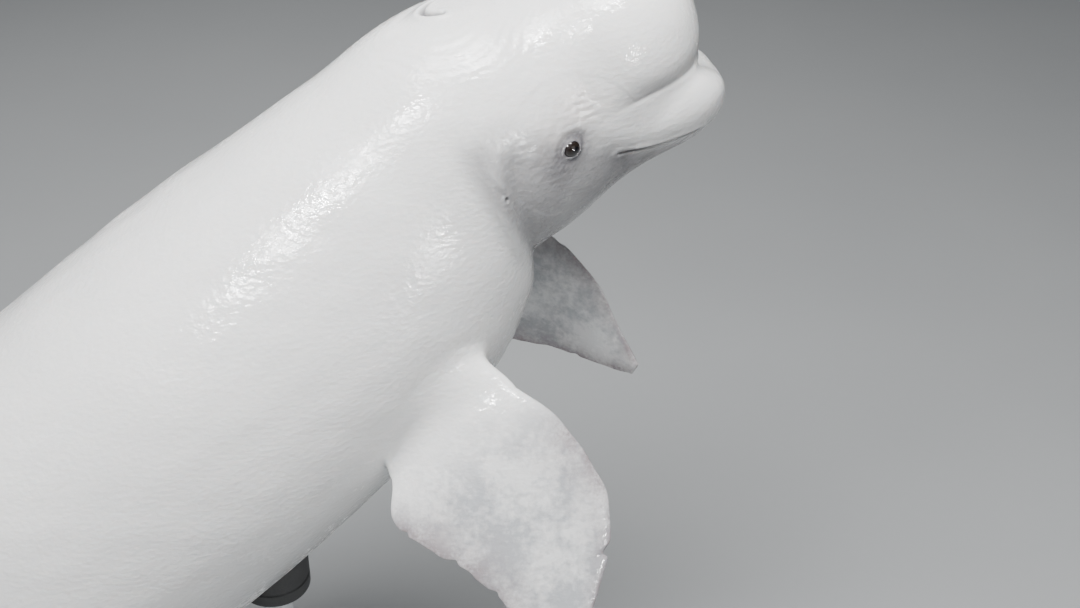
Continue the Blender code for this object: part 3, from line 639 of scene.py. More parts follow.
@dataclass
class Fin:
    """A fin that grows from the trunk as one skin with it, in sections along its span."""

    side: Side
    first_share: float = 0.16
    sections: int = 90
    # Thinning towards the trailing edge, and fullness of the section
    taper: float = 0.62
    fullness: float = 1.25
    # Fillet at the root: its lean off the trunk in radians, and its pull at the trunk and the blade
    fillet_rings: int = 16
    lean: float = 0.2
    flare: float = 0.35
    arrival: float = 0.45
    cap_rings: int = 6
    cap_least: float = 0.06

    def edges(self, share: float) -> Array:
        """Distances of the leading and trailing edge behind the section's centre."""
        raise NotImplementedError

    def thickness(self, share: float) -> float:
        """Thickness of a section."""
        raise NotImplementedError

    def ripple(self, share: float, back: Array) -> Array:
        """Small waves of the edges, for each share of the chord behind the leading edge.

        Args:
            share: Share of the span.
            back: Shares of the chord behind the leading edge.

        Returns:
            How far the outline moves back at each.
        """
        raise NotImplementedError

    def frame_at(self, share: float, root: Array, out: Array) -> tuple[Array, Array, Array]:
        """Centre, forward and upward directions of a section.

        Args:
            share: Share of the span.
            root: Middle of the root.
            out: The trunk's outward direction there.

        Returns:
            The centre and the two directions.
        """
        raise NotImplementedError

    def section(self, share: float, turns: Array, root: Array, out: Array, shrink: float = 1.0) -> Array:
        """Points round one section.

        Args:
            share: Share of the span.
            turns: Angle round the section for each point.
            root: Middle of the root.
            out: The trunk's outward direction there.
            shrink: Share of the full thickness, less than 1 where the tip is rounded off.

        Returns:
            Points of the section's ring.
        """
        centre, forward, up = self.frame_at(share, root, out)
        lead, trail = self.edges(share)
        back = (1 - np.cos(turns)) / 2
        height = -np.sin(turns) * self.thickness(share) / 2 * (1 - self.taper * back) * self.fullness
        inset = (1 - shrink) * self.thickness(share) * 0.5
        chord = (lead + inset) + (trail - lead - 2 * inset) * back + self.ripple(share, back)
        return centre - forward * chord[:, None] + up * (height * shrink)[:, None]

    def rings(self, border: Array, lift: Array, turns: Array) -> Array:
        """Rings of points from just beyond the root's border out to the tip.

        Args:
            border: Points of the root's border on the trunk.
            lift: The trunk's outward directions there.
            turns: Angle round the section for each point.

        Returns:
            Rings of as many points as the border.
        """
        root, out = border.mean(0), unit(lift.mean(0))
        shares = np.linspace(self.first_share, 1.0, self.sections)
        blade = [self.section(s, turns, root, out) for s in shares]
        outward = unit(blade[1].mean(0) - blade[0].mean(0))
        inward = root - border
        inward -= (inward * lift).sum(1)[:, None] * lift
        inward /= np.linalg.norm(inward, axis=1)[:, None]
        inward = inward * math.cos(self.lean) + lift * math.sin(self.lean)
        reach = np.linalg.norm(blade[0] - border, axis=1)[:, None]
        leave = border + inward * reach * self.flare
        arrive = blade[0] - outward * reach * self.arrival
        sweep = []
        for t in np.linspace(0, 1, self.fillet_rings + 2)[1:-1]:
            curve = (1 - t) ** 3 * border + 3 * (1 - t) ** 2 * t * leave
            sweep.append(curve + 3 * (1 - t) * t**2 * arrive + t**3 * blade[0])
        tip_way = unit(blade[-1].mean(0) - blade[-2].mean(0))
        cap = []
        for turn in np.linspace(0, math.pi / 2, self.cap_rings + 1)[1:]:
            shrink = max(math.cos(turn), self.cap_least)
            ring = self.section(1.0, turns, root, out, shrink)
            cap.append(ring + tip_way * math.sin(turn) * self.thickness(1.0) * 0.5)
        return np.array(sweep + blade + cap)


@dataclass
class Flipper(Fin):
    """A broad paddle whose blade is swung to its own direction and whose tip curls."""

    span: Triple = (0.0, 0.0, -1.0)
    chord_way: Triple = (1.0, 0.0, 0.0)
    wrist: float = 0.10
    bow: float = 0.0
    curl: float = 0.03
    length: float = 0.53
    chord: float = 0.38
    thick: float = 0.056
    sections: int = 150
    # Share of length, depth and half width in shares of each nick in the edges
    front_nicks: Rows = ()
    back_nicks: Rows = ()
    # Share of length, leading and trailing edge as shares of the chord
    outline: SmoothCurve = SmoothCurve([
        (0.10, -0.37, 0.39), (0.20, -0.42, 0.43), (0.32, -0.48, 0.51), (0.45, -0.50, 0.46),
        (0.60, -0.505, 0.345), (0.70, -0.465, 0.28), (0.80, -0.37, 0.22), (0.90, -0.22, 0.15),
        (1.00, -0.07, 0.03),
    ])

    def edges(self, share: float) -> Array:
        """Distances of the leading and trailing edge behind the section's centre."""
        return self.outline(share) * self.chord

    def thickness(self, share: float) -> float:
        """Thickness of a section."""
        return self.thick * (1 - 0.80 * float(smooth_step(share / 1.05))) + 0.003

    def ripple(self, share: float, back: Array) -> Array:
        """Uneven, slightly ragged edges, stronger towards the tip."""
        phase = 1.7 * self.side.value
        waves = math.sin(share * 19 + phase) + 0.6 * math.sin(share * 43 + 2 * phase)
        teeth = 0.22 * math.sin(share * 97 + phase)
        size = 0.0028 * float(smooth_step((share - 0.15) / 0.5))
        front = size * 0.6 * math.sin(share * 37)
        front += sum(deep * float(bell(share - at, half)) for at, deep, half in self.front_nicks)
        rear = size * (waves + teeth)
        rear -= sum(deep * float(bell(share - at, half)) for at, deep, half in self.back_nicks)
        return rear * back**4 + front * (1 - back) ** 4

    def frame_at(self, share: float, root: Array, out: Array) -> tuple[Array, Array, Array]:
        """Centre, forward and upward directions of a section."""
        span, chord = unit(self.span), unit(self.chord_way)
        middle = root + (out + span) * self.wrist + np.array([self.bow, 0.0, 0.0])
        palm = unit(np.cross(span, chord) * -self.side.value)
        end = root + span * self.length - palm * self.curl
        centre = (1 - share) ** 2 * root + 2 * (1 - share) * share * middle + share**2 * end
        way = unit((1 - share) * (middle - root) + share * (end - middle))
        turn = smooth_step(share / 0.7)
        forward = np.array([1.0, 0.0, 0.0]) * (1 - turn) + chord * turn
        forward = unit(forward - way * forward.dot(way))
        return centre, forward, np.cross(way, forward) * -self.side.value


@dataclass
class Fluke(Fin):
    """One half of the tail's fin, with a convex trailing edge."""

    flare: float = 0.4
    half_span: float = 0.50
    # Share of the half span, stations of the leading and trailing edge
    outline: SmoothCurve = SmoothCurve([
        (0.10, 3.625, 3.955), (0.20, 3.650, 4.020), (0.35, 3.705, 4.062), (0.55, 3.800, 4.080),
        (0.75, 3.905, 4.078), (0.90, 3.985, 4.066), (1.00, 4.040, 4.058),
    ])

    def edges(self, share: float) -> Array:
        """Stations of the leading and trailing edge."""
        return self.outline(share)

    def thickness(self, share: float) -> float:
        """Thickness of a section."""
        return 0.046 * (1 - share) ** 0.8 + 0.006

    def ripple(self, share: float, back: Array) -> Array:
        """Shallow scallops of the trailing edge."""
        size = 0.0022 * float(smooth_step((share - 0.1) / 0.3))
        return size * (math.sin(share * 40 + self.side.value) + 0.5 * math.sin(share * 93)) * back**5

    def frame_at(self, share: float, root: Array, out: Array) -> tuple[Array, Array, Array]:
        """Centre, forward and upward directions of a section."""
        centre = np.array([0.0, self.side.value * share * self.half_span, -0.012 * share**2])
        return centre, np.array([1.0, 0, 0]), np.array([0, 0, 1.0])


# Relief of the skin


@dataclass(frozen=True)
class SkinField:
    """What the relief does to the skin: how far it stands out, how dark it is with its marks and painted
    shade, and how rosy it is.
    """

    lift: Array
    marks_and_shade: Array
    blush: Array

    @staticmethod
    def flat(count: int) -> "SkinField":
        """Skin with no relief."""
        return SkinField(*np.zeros((3, count)))

    def __add__(self, other: "SkinField") -> "SkinField":
        """Both reliefs at once.

        Args:
            other: The other relief.

        Returns:
            The lifts added up, the darknesses of marks and painted shade laid over each other, and the
            stronger blush.
        """
        return SkinField(
            self.lift + other.lift,
            self.marks_and_shade + other.marks_and_shade - self.marks_and_shade * other.marks_and_shade,
            np.maximum(self.blush, other.blush),
        )


@dataclass(frozen=True)
class Swell:
    """A rounded swelling beside a line or round a point, or a groove where its height is below 0."""

    height: float
    middle: float
    width: float

    def __call__(self, distance: Array) -> Array:
        """Height at a distance from the line or point."""
        return self.height * bell(distance - self.middle, self.width)


class Relief:
    """A detail of the skin that is modelled by lifting and sinking its points."""

    # Station of the hindmost points that the detail can touch
    last_station: float = math.inf

    def close(self, points: Array) -> Array:
        """Which points lie so close to the detail that they need a finer mesh."""
        return np.zeros(len(points), bool)

    def reach(self, points: Array) -> Array:
        """Which points the detail can touch."""
        return points[:, 0] > -self.last_station

    def looks(self, points: Array) -> SkinLooks:
        """Lift, darkness and blush at points within reach.

        Args:
            points: Points within reach.

        Returns:
            Their lift, darkness and blush.
        """
        raise NotImplementedError

    def field(self, points: Array) -> SkinField:
        """Lift, darkness and blush at all points.

        Args:
            points: Points of the straight whale.

        Returns:
            What the detail does to each.
        """
        result = SkinField.flat(len(points))
        near = self.reach(points)
        result.lift[near], result.marks_and_shade[near], result.blush[near] = self.looks(points[near])
        return result


def line_distance(points: Array, line: Array) -> tuple[Array, Array, Array]:
    """Distance of points from a line in the side view.

    Args:
        points: Points of the straight whale.
        line: Rows of (station, rise).

    Returns:
        Signed distances, positive above, the length along the line of the nearest place on it, and how
        far points lie beyond its ends.
    """
    place = np.stack([-points[:, 0], points[:, 2] + BEAK_DROP], -1)
    best = np.full(len(points), np.inf)
    signed, along, beyond = np.zeros((3, len(points)))
    walked = 0.0
    for start, end in zip(line, line[1:]):
        length = np.linalg.norm(end - start)
        way = (end - start) / length
        raw = (place - start) @ way
        t = np.clip(raw, 0, length)
        off = place - start - t[:, None] * way
        distance = np.linalg.norm(off, axis=1)
        nearer = distance < best
        best = np.where(nearer, distance, best)
        side = np.where(way[0] * off[:, 1] - way[1] * off[:, 0] >= 0, 1.0, -1.0)
        signed = np.where(nearer, distance * side, signed)
        along = np.where(nearer, walked + t, along)
        beyond = np.where(nearer, np.abs(raw - t), beyond)
        walked += length
    return signed, along, beyond


@dataclass
class LineRelief(Relief):
    """A detail along a smooth line through rows of (station, rise)."""

    rows: Rows
    samples: int

    def __post_init__(self) -> None:
        """Samples the line evenly."""
        rows = np.array(self.rows)
        lengths = np.concatenate([[0], np.cumsum(np.linalg.norm(np.diff(rows, axis=0), axis=1))])
        curve = SmoothCurve(np.column_stack([lengths, rows]))
        self.line = curve(np.linspace(0, lengths[-1], self.samples))
        self.length = np.linalg.norm(np.diff(self.line, axis=0), axis=1).sum()


@dataclass
class MouthLine(LineRelief):
    """Line of the mouth with softly rolled lips, fading at its corners."""

    rows: Rows = (
        (-0.03, -0.036), (0.02, -0.031), (0.08, -0.013), (0.15, -0.006), (0.20, 0.002),
        (0.238, 0.015),
    )
    samples: int = 60
    depth: float = 0.0062
    width: float = 0.0026
    lip_width: float = 0.011
    upper_roll: Swell = Swell(0.0020, 0.0075, 0.0052)
    lower_roll: Swell = Swell(0.0012, -0.0075, 0.0048)
    # Pinch of skin on either side of the mouth's corner, and its length
    pinch: Swell = Swell(0.0022, 0.009, 0.006)
    pinch_length: float = 0.014
    closing: float = 0.045
    last_station: float = 0.27

    def close(self, points: Array) -> Array:
        """Points within a lip's width of the line."""
        head = points[:, 0] > -0.25
        signed, _, _ = line_distance(points[head], self.line)
        result = np.zeros(len(points), bool)
        result[head] = np.abs(signed) < self.lip_width
        return result

    def looks(self, points: Array) -> SkinLooks:
        """Groove between the lips, their rolled edges, the dark line between them, part seam colour and part
        painted shade in the groove, and the rosy jaw.
        """
        signed, along, _ = line_distance(points, self.line)
        away, left = np.abs(signed), self.length - along
        parted = smooth_step(left / self.closing)
        groove = -self.depth * (0.35 + 0.65 * parted) * bell(signed, self.width)
        rolls = (self.upper_roll(signed) + self.lower_roll(signed)) * parted
        corner = self.pinch(away) * bell(left, self.pinch_length)
        lift = (groove + rolls + corner) * smooth_step(1 - np.maximum(away - 0.002, 0) / 0.03)
        # Dark line along the groove: the seam's own colour with painted shade in it
        marks_and_shade = (0.55 + 0.35 * parted) * bell(signed, self.width * 0.95)
        return lift, marks_and_shade, 0.8 * smooth_step(-signed / 0.05) * smooth_step((0.26 + points[:, 0]) / 0.1)


@dataclass
class MelonFold(LineRelief):
    """Crease where the melon overhangs the upper lip, with painted shade on the melon's underside above it.
    """

    rows: Rows = (
        (0.02, 0.110), (0.06, 0.114), (0.12, 0.115), (0.18, 0.113), (0.235, 0.106),
    )
    samples: int = 40
    crease: Swell = Swell(-0.0022, 0.0, 0.006)
    # Painted shade in a band above the crease, under the melon's overhang: darkness, height of its darkest
    # part and how far it fades past that
    grey: float = 0.50
    grey_height: float = 0.012
    grey_fade: float = 0.026
    last_station: float = 0.30

    def looks(self, points: Array) -> SkinLooks:
        """Crease, fading at its ends, and the band of painted shade along the melon's underside."""
        signed, along, beyond = line_distance(points, self.line)
        left = self.length - along
        side = smooth_step((np.abs(points[:, 1]) - 0.015) / 0.04)
        lift = self.crease(signed) * smooth_step(left / 0.09) * smooth_step(1 - beyond / 0.02) * side
        band = bell(np.maximum(signed - self.grey_height, 0), self.grey_fade)
        band = band * smooth_step((signed + 0.003) / 0.007)
        return lift, self.grey * band * smooth_step((left + 0.03) / 0.10) * side, 0.0


@dataclass
class HeadShade(Relief):
    """Painted shade on the lower side of the head, which faces down away from the light, from the jaw back
    to the throat.
    """

    # Station and rise of points on the painted shade's soft upper edge
    rows: Rows = (
        (0.03, -0.036), (0.10, -0.006), (0.20, 0.022), (0.27, 0.092), (0.33, 0.128), (0.40, 0.162),
        (0.46, 0.195),
    )
    blots: Waves = Waves(0.055, 21, (1.3, 1.0, 1.0))
    blot_size: float = 0.010
    # Height of the fade above that edge, and the fade's whole height
    above: float = 0.040
    fade: float = 0.110
    # Darkness of the painted shade, and how much more it darkens the jaw
    grey: float = 0.66
    jaw_grey: float = 0.20
    last_station: float = 0.60

    def __post_init__(self) -> None:
        """Tabulates the upper edge."""
        self.edge = SmoothCurve(self.rows)

    def looks(self, points: Array) -> SkinLooks:
        """Soft painted shade below the edge, darker on the jaw and fading behind the neck's edge."""
        station, rise = -points[:, 0], points[:, 2] + BEAK_DROP
        below = self.edge(station)[:, 0] - rise + self.blot_size * self.blots(points)
        shade = smooth_step((below + self.above) / self.fade) * smooth_step((0.53 - station) / 0.05)
        return 0.0, shade * (self.grey + self.jaw_grey * smooth_step((0.36 - station) / 0.14)), 0.0


@dataclass
class SpotRelief(Relief):
    """A detail round a place on the head."""

    place: Place
    # Distances from the place up to which the mesh is finer and which the detail can touch
    fine: float = 0.040
    wide: float = 0.14

    def close(self, points: Array) -> Array:
        """Which points need a finer mesh."""
        return np.linalg.norm(points - self.place.point, axis=1) < self.fine

    def reach(self, points: Array) -> Array:
        """Which points the detail can touch."""
        return np.linalg.norm(points - self.place.point, axis=1) < self.wide


@dataclass
class Lids(SpotRelief):
    """Lids over one eyeball, the crease above them and the fine folds round them."""

    # Opening between the lids, and its middle from the eyeball's axis
    half_long: float = 0.0178
    half_high: float = 0.0148
    ahead: float = -0.0020
    above: float = 0.0030
    roundness: float = 1.9
    # Skin's height over the ball, and the ball's part that the skin follows
    cover: float = 0.0012
    ball_edge: float = 0.0195
    ball_slope: float = 2.2
    foot: float = 0.0055
    foot_sink: float = 0.0008
    socket: float = 0.0045
    # Rings round the opening, their middles and widths as shares of its half size
    margin: Swell = Swell(0.0004, 1.16, 0.14)
    upper_crease: Swell = Swell(-0.0006, 1.85, 0.35)
    lower_crease: Swell = Swell(-0.0003, 1.7, 0.30)
    upper_pouch: Swell = Swell(0.0007, 2.45, 0.42)
    lower_pouch: Swell = Swell(0.0004, 2.3, 0.4)
    spokes: Swell = Swell(0.00014, 2.3, 0.8)
    # Darkening: darkness and width of the grey patch behind the eye, of the painted shadow cast by the upper
    # lid's fold at the brow, of the lids' dark rims with painted shade in the opening, and of the ring round
    # them, with more painted shade above
    patch: tuple[float, float] = (0.80, 0.038)
    brow: tuple[float, float] = (0.62, 0.022)
    rim: tuple[float, float] = (0.80, 0.36)
    ring: tuple[float, float] = (0.40, 0.8)
    darkest: float = 0.94
    tilt: float = math.radians(EYE_TILT)

    def looks(self, points: Array) -> SkinLooks:
        """Lids, the sunk skin behind the eyeball's front, and the grey and painted shade round them."""
        u, v, _ = self.place.local(points)
        across, high = (u - self.ahead) / self.half_long, (v - self.above) / self.half_high
        e = (np.abs(across) ** self.roundness + np.abs(high) ** self.roundness) ** (1 / self.roundness)
        upper = smooth_step(0.5 + (v + 0.3 * u) / 0.016)
        along = u * math.cos(self.tilt) - v * math.sin(self.tilt)
        above = u * math.sin(self.tilt) + v * math.cos(self.tilt)
        marks_and_shade = self.patch[0] * bell(np.hypot(along + 0.034, above + 0.026), self.patch[1])
        marks_and_shade += self.brow[0] * bell(np.hypot((along - 0.012) * 0.8, above - 0.017), self.brow[1])
        marks_and_shade += self.rim[0] * bell(np.maximum(e - 1.04, 0), self.rim[1])
        marks_and_shade += self.ring[0] * bell(e - 1.4, self.ring[1]) * (0.55 + 0.45 * upper)
        blush = 0.5 * bell(np.hypot(along + 0.02, above - 0.05), 0.05)
        lift = self._lift(np.hypot(u, v), e, np.arctan2(high, across), upper)
        return lift, np.clip(marks_and_shade, 0, self.darkest), blush

    def _lift(self, r: Array, e: Array, turn: Array, upper: Array) -> Array:
        """Height of the skin.

        Args:
            r: Distances from the eyeball's axis.
            e: Distances from the opening's middle as shares of its half size.
            turn: Angles round that middle.
            upper: How far points belong to the upper lid rather than the lower.

        Returns:
            Heights over the smooth head.
        """
        ball = np.sqrt(np.maximum(EYE_RADIUS**2 - np.minimum(r, self.ball_edge) ** 2, 0)) - EYE_DEPTH
        ball = ball - self.ball_slope * np.maximum(r - self.ball_edge, 0)
        over = ball + self.cover
        lid = (over + np.sqrt(over**2 + self.foot**2)) / 2 - self.foot_sink + self.margin(e)
        lid += upper * (self.upper_crease(e) + self.upper_pouch(e))
        lid += (1 - upper) * (self.lower_crease(e) + self.lower_pouch(e))
        lid += self.spokes(e) * np.cos(15 * turn + 2.0 * np.sin(2 * turn))
        inside = smooth_step((1.0 - e) / 0.20)
        return lid * (1 - inside) + (np.minimum(ball, 0.02) - self.socket) * inside


@dataclass
class EarHole(SpotRelief):
    """Pinhole of the ear, with a small fold above it."""

    fine: float = 0.018
    wide: float = 0.10
    pit: Swell = Swell(-0.0060, 0.0, 0.0034)
    rim: Swell = Swell(0.0007, 0.0085, 0.0035)
    # Painted shade darkening the pit: darkness, middle and width
    spot: Swell = Swell(0.62, 0.0, 0.0052)
    fold: Swell = Swell(0.0018, 0.003, 0.005)
    hollow: Swell = Swell(-0.0022, -0.006, 0.006)

    def looks(self, points: Array) -> SkinLooks:
        """Sunk pinhole, raised rim, the fold above it with the hollow behind, and painted shade in the pit.
        """
        u, v, _ = self.place.local(points)
        lift = self.pit(np.hypot(u * 1.2, v * 0.85)) + self.rim(np.hypot(u, v))
        lift += self.fold(u) * bell(v - 0.026, 0.017) + self.hollow(u) * bell(v - 0.018, 0.016)
        return lift, self.spot(np.hypot(u + 0.001, v + 0.001)), 0.0


@dataclass
class Blowhole(Relief):
    """Crescent slit on top of the head with its lips, and the wrinkles round it."""

    station: float = 0.46
    radius: float = 0.034
    half_turn: float = math.radians(66)
    slit: Swell = Swell(-0.0085, 0.0, 0.0026)
    lips: Swell = Swell(0.0026, 0.008, 0.0055)
    plug: Swell = Swell(0.0030, 0.0, 0.022)
    moat: Swell = Swell(-0.0022, 0.060, 0.012)
    wrinkles: Swell = Swell(0.00075, 0.105, 0.040)
    wrinkle_step: float = 0.0125

    def _off_slit(self, points: Array) -> tuple[Array, Array, Array]:
        """Distance from the slit and from its centre, and the turn round it from straight behind.

        Args:
            points: Points of the straight whale.

        Returns:
            The two distances and the turn.
        """
        back = -points[:, 0] - (self.station - self.radius)
        r = np.hypot(back, points[:, 1])
        turn = np.abs(np.arctan2(points[:, 1], back))
        over = np.maximum(turn - self.half_turn, 0) * self.radius
        return np.hypot(r - self.radius, over), r, turn

    def close(self, points: Array) -> Array:
        """Points on top of the head near the slit."""
        distance, _, _ = self._off_slit(points)
        return (distance < 0.014) & (points[:, 2] > 0.15)

    def reach(self, points: Array) -> Array:
        """Points on top of the head."""
        return (points[:, 2] > 0.10) & (points[:, 0] > -0.75) & (points[:, 0] < -0.2)

    def looks(self, points: Array) -> SkinLooks:
        """Slit, raised lips, the plug in front and rings of wrinkles on either side, with painted shade in
        the slit and a faint grey round it.
        """
        distance, r, turn = self._off_slit(points)
        wobble = 0.012 * np.sin(3 * turn + 1.0) + 0.006 * np.sin(points[:, 1] * 60)
        rings = self.wrinkles(r) * np.sin((r + wobble) * 2 * math.pi / self.wrinkle_step)
        rings *= 0.35 + 0.65 * smooth_step((turn - 0.3) / 0.8)
        lift = self.slit(distance) + self.lips(distance) + self.plug(r) + self.moat(r) + rings
        # Painted shade darkens the slit, and a faint grey lies round it
        return lift, np.clip(0.85 * bell(distance, 0.0034) + 0.16 * bell(r, 0.05), 0, 1), 0.0


@dataclass
class NeckCrease(LineRelief):
    """Soft edge where the neck's side bulges past the back of the head, with fine wrinkles and painted shade
    in the hollow ahead of it.
    """

    rows: Rows = (
        (0.512, -0.17), (0.491, -0.09), (0.474, -0.02), (0.460, 0.05), (0.447, 0.11), (0.436, 0.17),
    )
    samples: int = 24
    waves: Waves = Waves(0.030, 5, (0.45, 1.0, 1.6))
    # Distances behind the edge
    hollow: Swell = Swell(-0.007, -0.020, 0.022)
    bulge: Swell = Swell(0.008, 0.026, 0.026)
    low_bulge: Swell = Swell(0.002, 0.026, 0.026)
    wrinkles: Swell = Swell(0.0004, 0.0, 0.055)
    # Darkness of the painted shade in the hollow ahead of the edge
    grey: float = 0.22

    def reach(self, points: Array) -> Array:
        """Points on the neck's sides."""
        return (points[:, 0] < -0.30) & (points[:, 0] > -0.80) & (np.abs(points[:, 1]) > 0.02)

    def looks(self, points: Array) -> SkinLooks:
        """Hollow ahead of the edge with painted shade in it, bulge behind it and wrinkles that cross it."""
        signed, along, beyond = line_distance(points, self.line)
        behind, left = -signed, self.length - along
        side = smooth_step(np.abs(points[:, 1]) / 0.08)
        above = smooth_step((points[:, 2] + 0.235) / 0.10)
        edge = self.low_bulge(behind) + above * (self.hollow(behind) + self.bulge(behind))
        edge = edge * smooth_step(left / 0.09) * smooth_step(1 - beyond / 0.05)
        shade = smooth_step((0.006 - behind) / 0.014) * smooth_step(1 + (behind + 0.02) / 0.13)
        lift = (edge + self.wrinkles(behind) * self.waves(points)) * side
        return lift, self.grey * smooth_step(left / 0.20) * shade * side, 0.0


@dataclass
class BackRidge(Relief):
    """Low ridge along the back in place of a fin, with shallow scallops."""

    first: float = 1.80
    last: float = 2.55
    crest: Swell = Swell(0.021, 0.0, 0.0125)
    grey: Swell = Swell(0.32, 0.0, 0.010)
    scallop: float = 0.12

    def reach(self, points: Array) -> Array:
        """Points on top of the back between the ridge's ends."""
        return (points[:, 2] > 0.1) & (points[:, 0] < -self.first) & (points[:, 0] > -self.last)

    def looks(self, points: Array) -> SkinLooks:
        """Narrow ridge, greyer along its crest."""
        share = (-points[:, 0] - self.first) / (self.last - self.first)
        swell = np.sin(math.pi * share) ** 0.7 * (1 + self.scallop * np.cos(share * 34.0))
        return self.crest(points[:, 1]) * swell, self.grey(points[:, 1]) * swell, 0.0


@dataclass
class LooseSkin(Relief):
    """Broad soft undulations of blubber, and fine wrinkles on the face."""

    broad: Waves = Waves(0.34, 11, (2.2, 1.0, 0.8))
    middle: Waves = Waves(0.075, 12, (1.6, 1.0, 1.0))
    fine: Waves = Waves(0.020, 13, (1.4, 1.0, 0.7))
    broad_height: float = 0.0026
    middle_height: float = 0.0005
    fine_height: float = 0.00055

    def looks(self, points: Array) -> SkinLooks:
        """Undulations over the trunk, and wrinkles between the melon and the eye."""
        station, rise = -points[:, 0], points[:, 2] + BEAK_DROP
        trunk = smooth_step((station - 0.45) / 0.5) * smooth_step((3.6 - station) / 1.0)
        cheek = bell(np.hypot((station - 0.290) * 0.8, rise - 0.150), 0.042)
        temple = 0.6 * bell(np.hypot(station - 0.395, (rise - 0.10) * 0.7), 0.05)
        lift = self.broad_height * self.broad(points) * trunk
        lift += self.middle_height * self.middle(points) * (0.3 + 0.7 * trunk)
        lift += self.fine_height * self.fine(points) * (cheek + temple)
        return lift, 0.0, 0.75 * cheek


# Whale's skin


@dataclass
class SkinMesh:
    """Points and faces of the skin while it is put together."""

    points: list[Array] = field(default_factory=list)
    rims: list[Array] = field(default_factory=list)
    spans: list[Array] = field(default_factory=list)
    faces: list[Array] = field(default_factory=list)
    count: int = 0

    def add_points(self, points: Array, rim: Array | float = -1.0, span: Array | float = 0.0) -> Array:
        """Adds points.

        Args:
            points: Points in any arrangement.
            rim: How close each lies to a fin's thin edge, 0 to 1, or -1 off the fins.
            span: How far out on a fin each lies, 0 to 1.

        Returns:
            Their numbers, in the same arrangement.
        """
        ids = np.arange(self.count, self.count + points[..., 0].size).reshape(points.shape[:-1])
        self.points.append(points.reshape(-1, 3))
        self.rims.append(np.broadcast_to(rim, points.shape[:-1]).ravel())
        self.spans.append(np.broadcast_to(span, points.shape[:-1]).ravel())
        self.count += ids.size
        return ids

    def add_strip(self, near: Array, far: Array, closed: bool = True) -> None:
        """Joins two rows of point numbers with a strip of quads.

        Args:
            near: Point numbers of one row.
            far: Those of the other row.
            closed: Whether the rows run all the way round.
        """
        if closed:
            near, far = np.append(near, near[0]), np.append(far, far[0])
        self.faces.append(np.stack([near[:-1], near[1:], far[1:], far[:-1]], -1))

    def add_grid(self, ids: Array) -> None:
        """Fills an open grid of point numbers with quads."""
        for near, far in zip(ids, ids[1:]):
            self.add_strip(near, far, closed=False)

    def close_ring(self, ids: Array, lead: int = 0) -> None:
        """Zips a flat ring of point numbers shut, along both its sides from the one at the lead.

        Args:
            ids: Point numbers round the ring.
            lead: Where in the ring to start.
        """
        steps = np.arange(len(ids) // 2 + 1)
        one, other = ids[(lead + steps) % len(ids)], ids[(lead - steps) % len(ids)]
        self.add_strip(one[1:-1], other[1:-1], closed=False)
        for end, beside in ((0, 1), (-1, -2)):
            self.faces.append(np.array([[one[end], one[beside], other[beside], other[beside]]]))

    def build(self, name: str) -> Object:
        """Makes the mesh object, with its points' rim and span values as attributes.

        Args:
            name: Name of the mesh and the object.

        Returns:
            The object.
        """
        faces = np.concatenate(self.faces)
        used = np.unique(faces)
        fresh = np.full(self.count, -1)
        fresh[used] = np.arange(len(used))
        mesh = bpy.data.meshes.new(name)
        mesh.from_pydata(np.concatenate(self.points)[used].tolist(), [], fresh[faces].tolist())
        mesh.update()
        set_attribute(mesh, "rim", np.concatenate(self.rims)[used])
        set_attribute(mesh, "span", np.concatenate(self.spans)[used])
        return new_object(name, mesh)


def mesh_points(mesh: Mesh) -> Array:
    """Points of a mesh as rows.

    Args:
        mesh: The mesh.

    Returns:
        One row for each point.
    """
    flat = np.zeros(len(mesh.vertices) * 3)
    mesh.vertices.foreach_get("co", flat)
    return flat.reshape(-1, 3)


def set_mesh_points(mesh: Mesh, points: Array) -> None:
    """Moves a mesh's points."""
    mesh.vertices.foreach_set("co", points.ravel())
    mesh.update()


def set_attribute(mesh: Mesh, name: str, values: Array) -> None:
    """Stores one number for each point under a name that materials can read."""
    layer = mesh.attributes.get(name) or mesh.attributes.new(name, "FLOAT", "POINT")
    layer.data.foreach_set("value", np.asarray(values, np.float32))


def read_attribute(mesh: Mesh, name: str) -> Array:
    """One number for each point, stored under a name.

    Args:
        mesh: The mesh.
        name: Name of the numbers.

    Returns:
        The numbers.
    """
    values = np.zeros(len(mesh.vertices), np.float32)
    mesh.attributes[name].data.foreach_get("value", values)
    return values


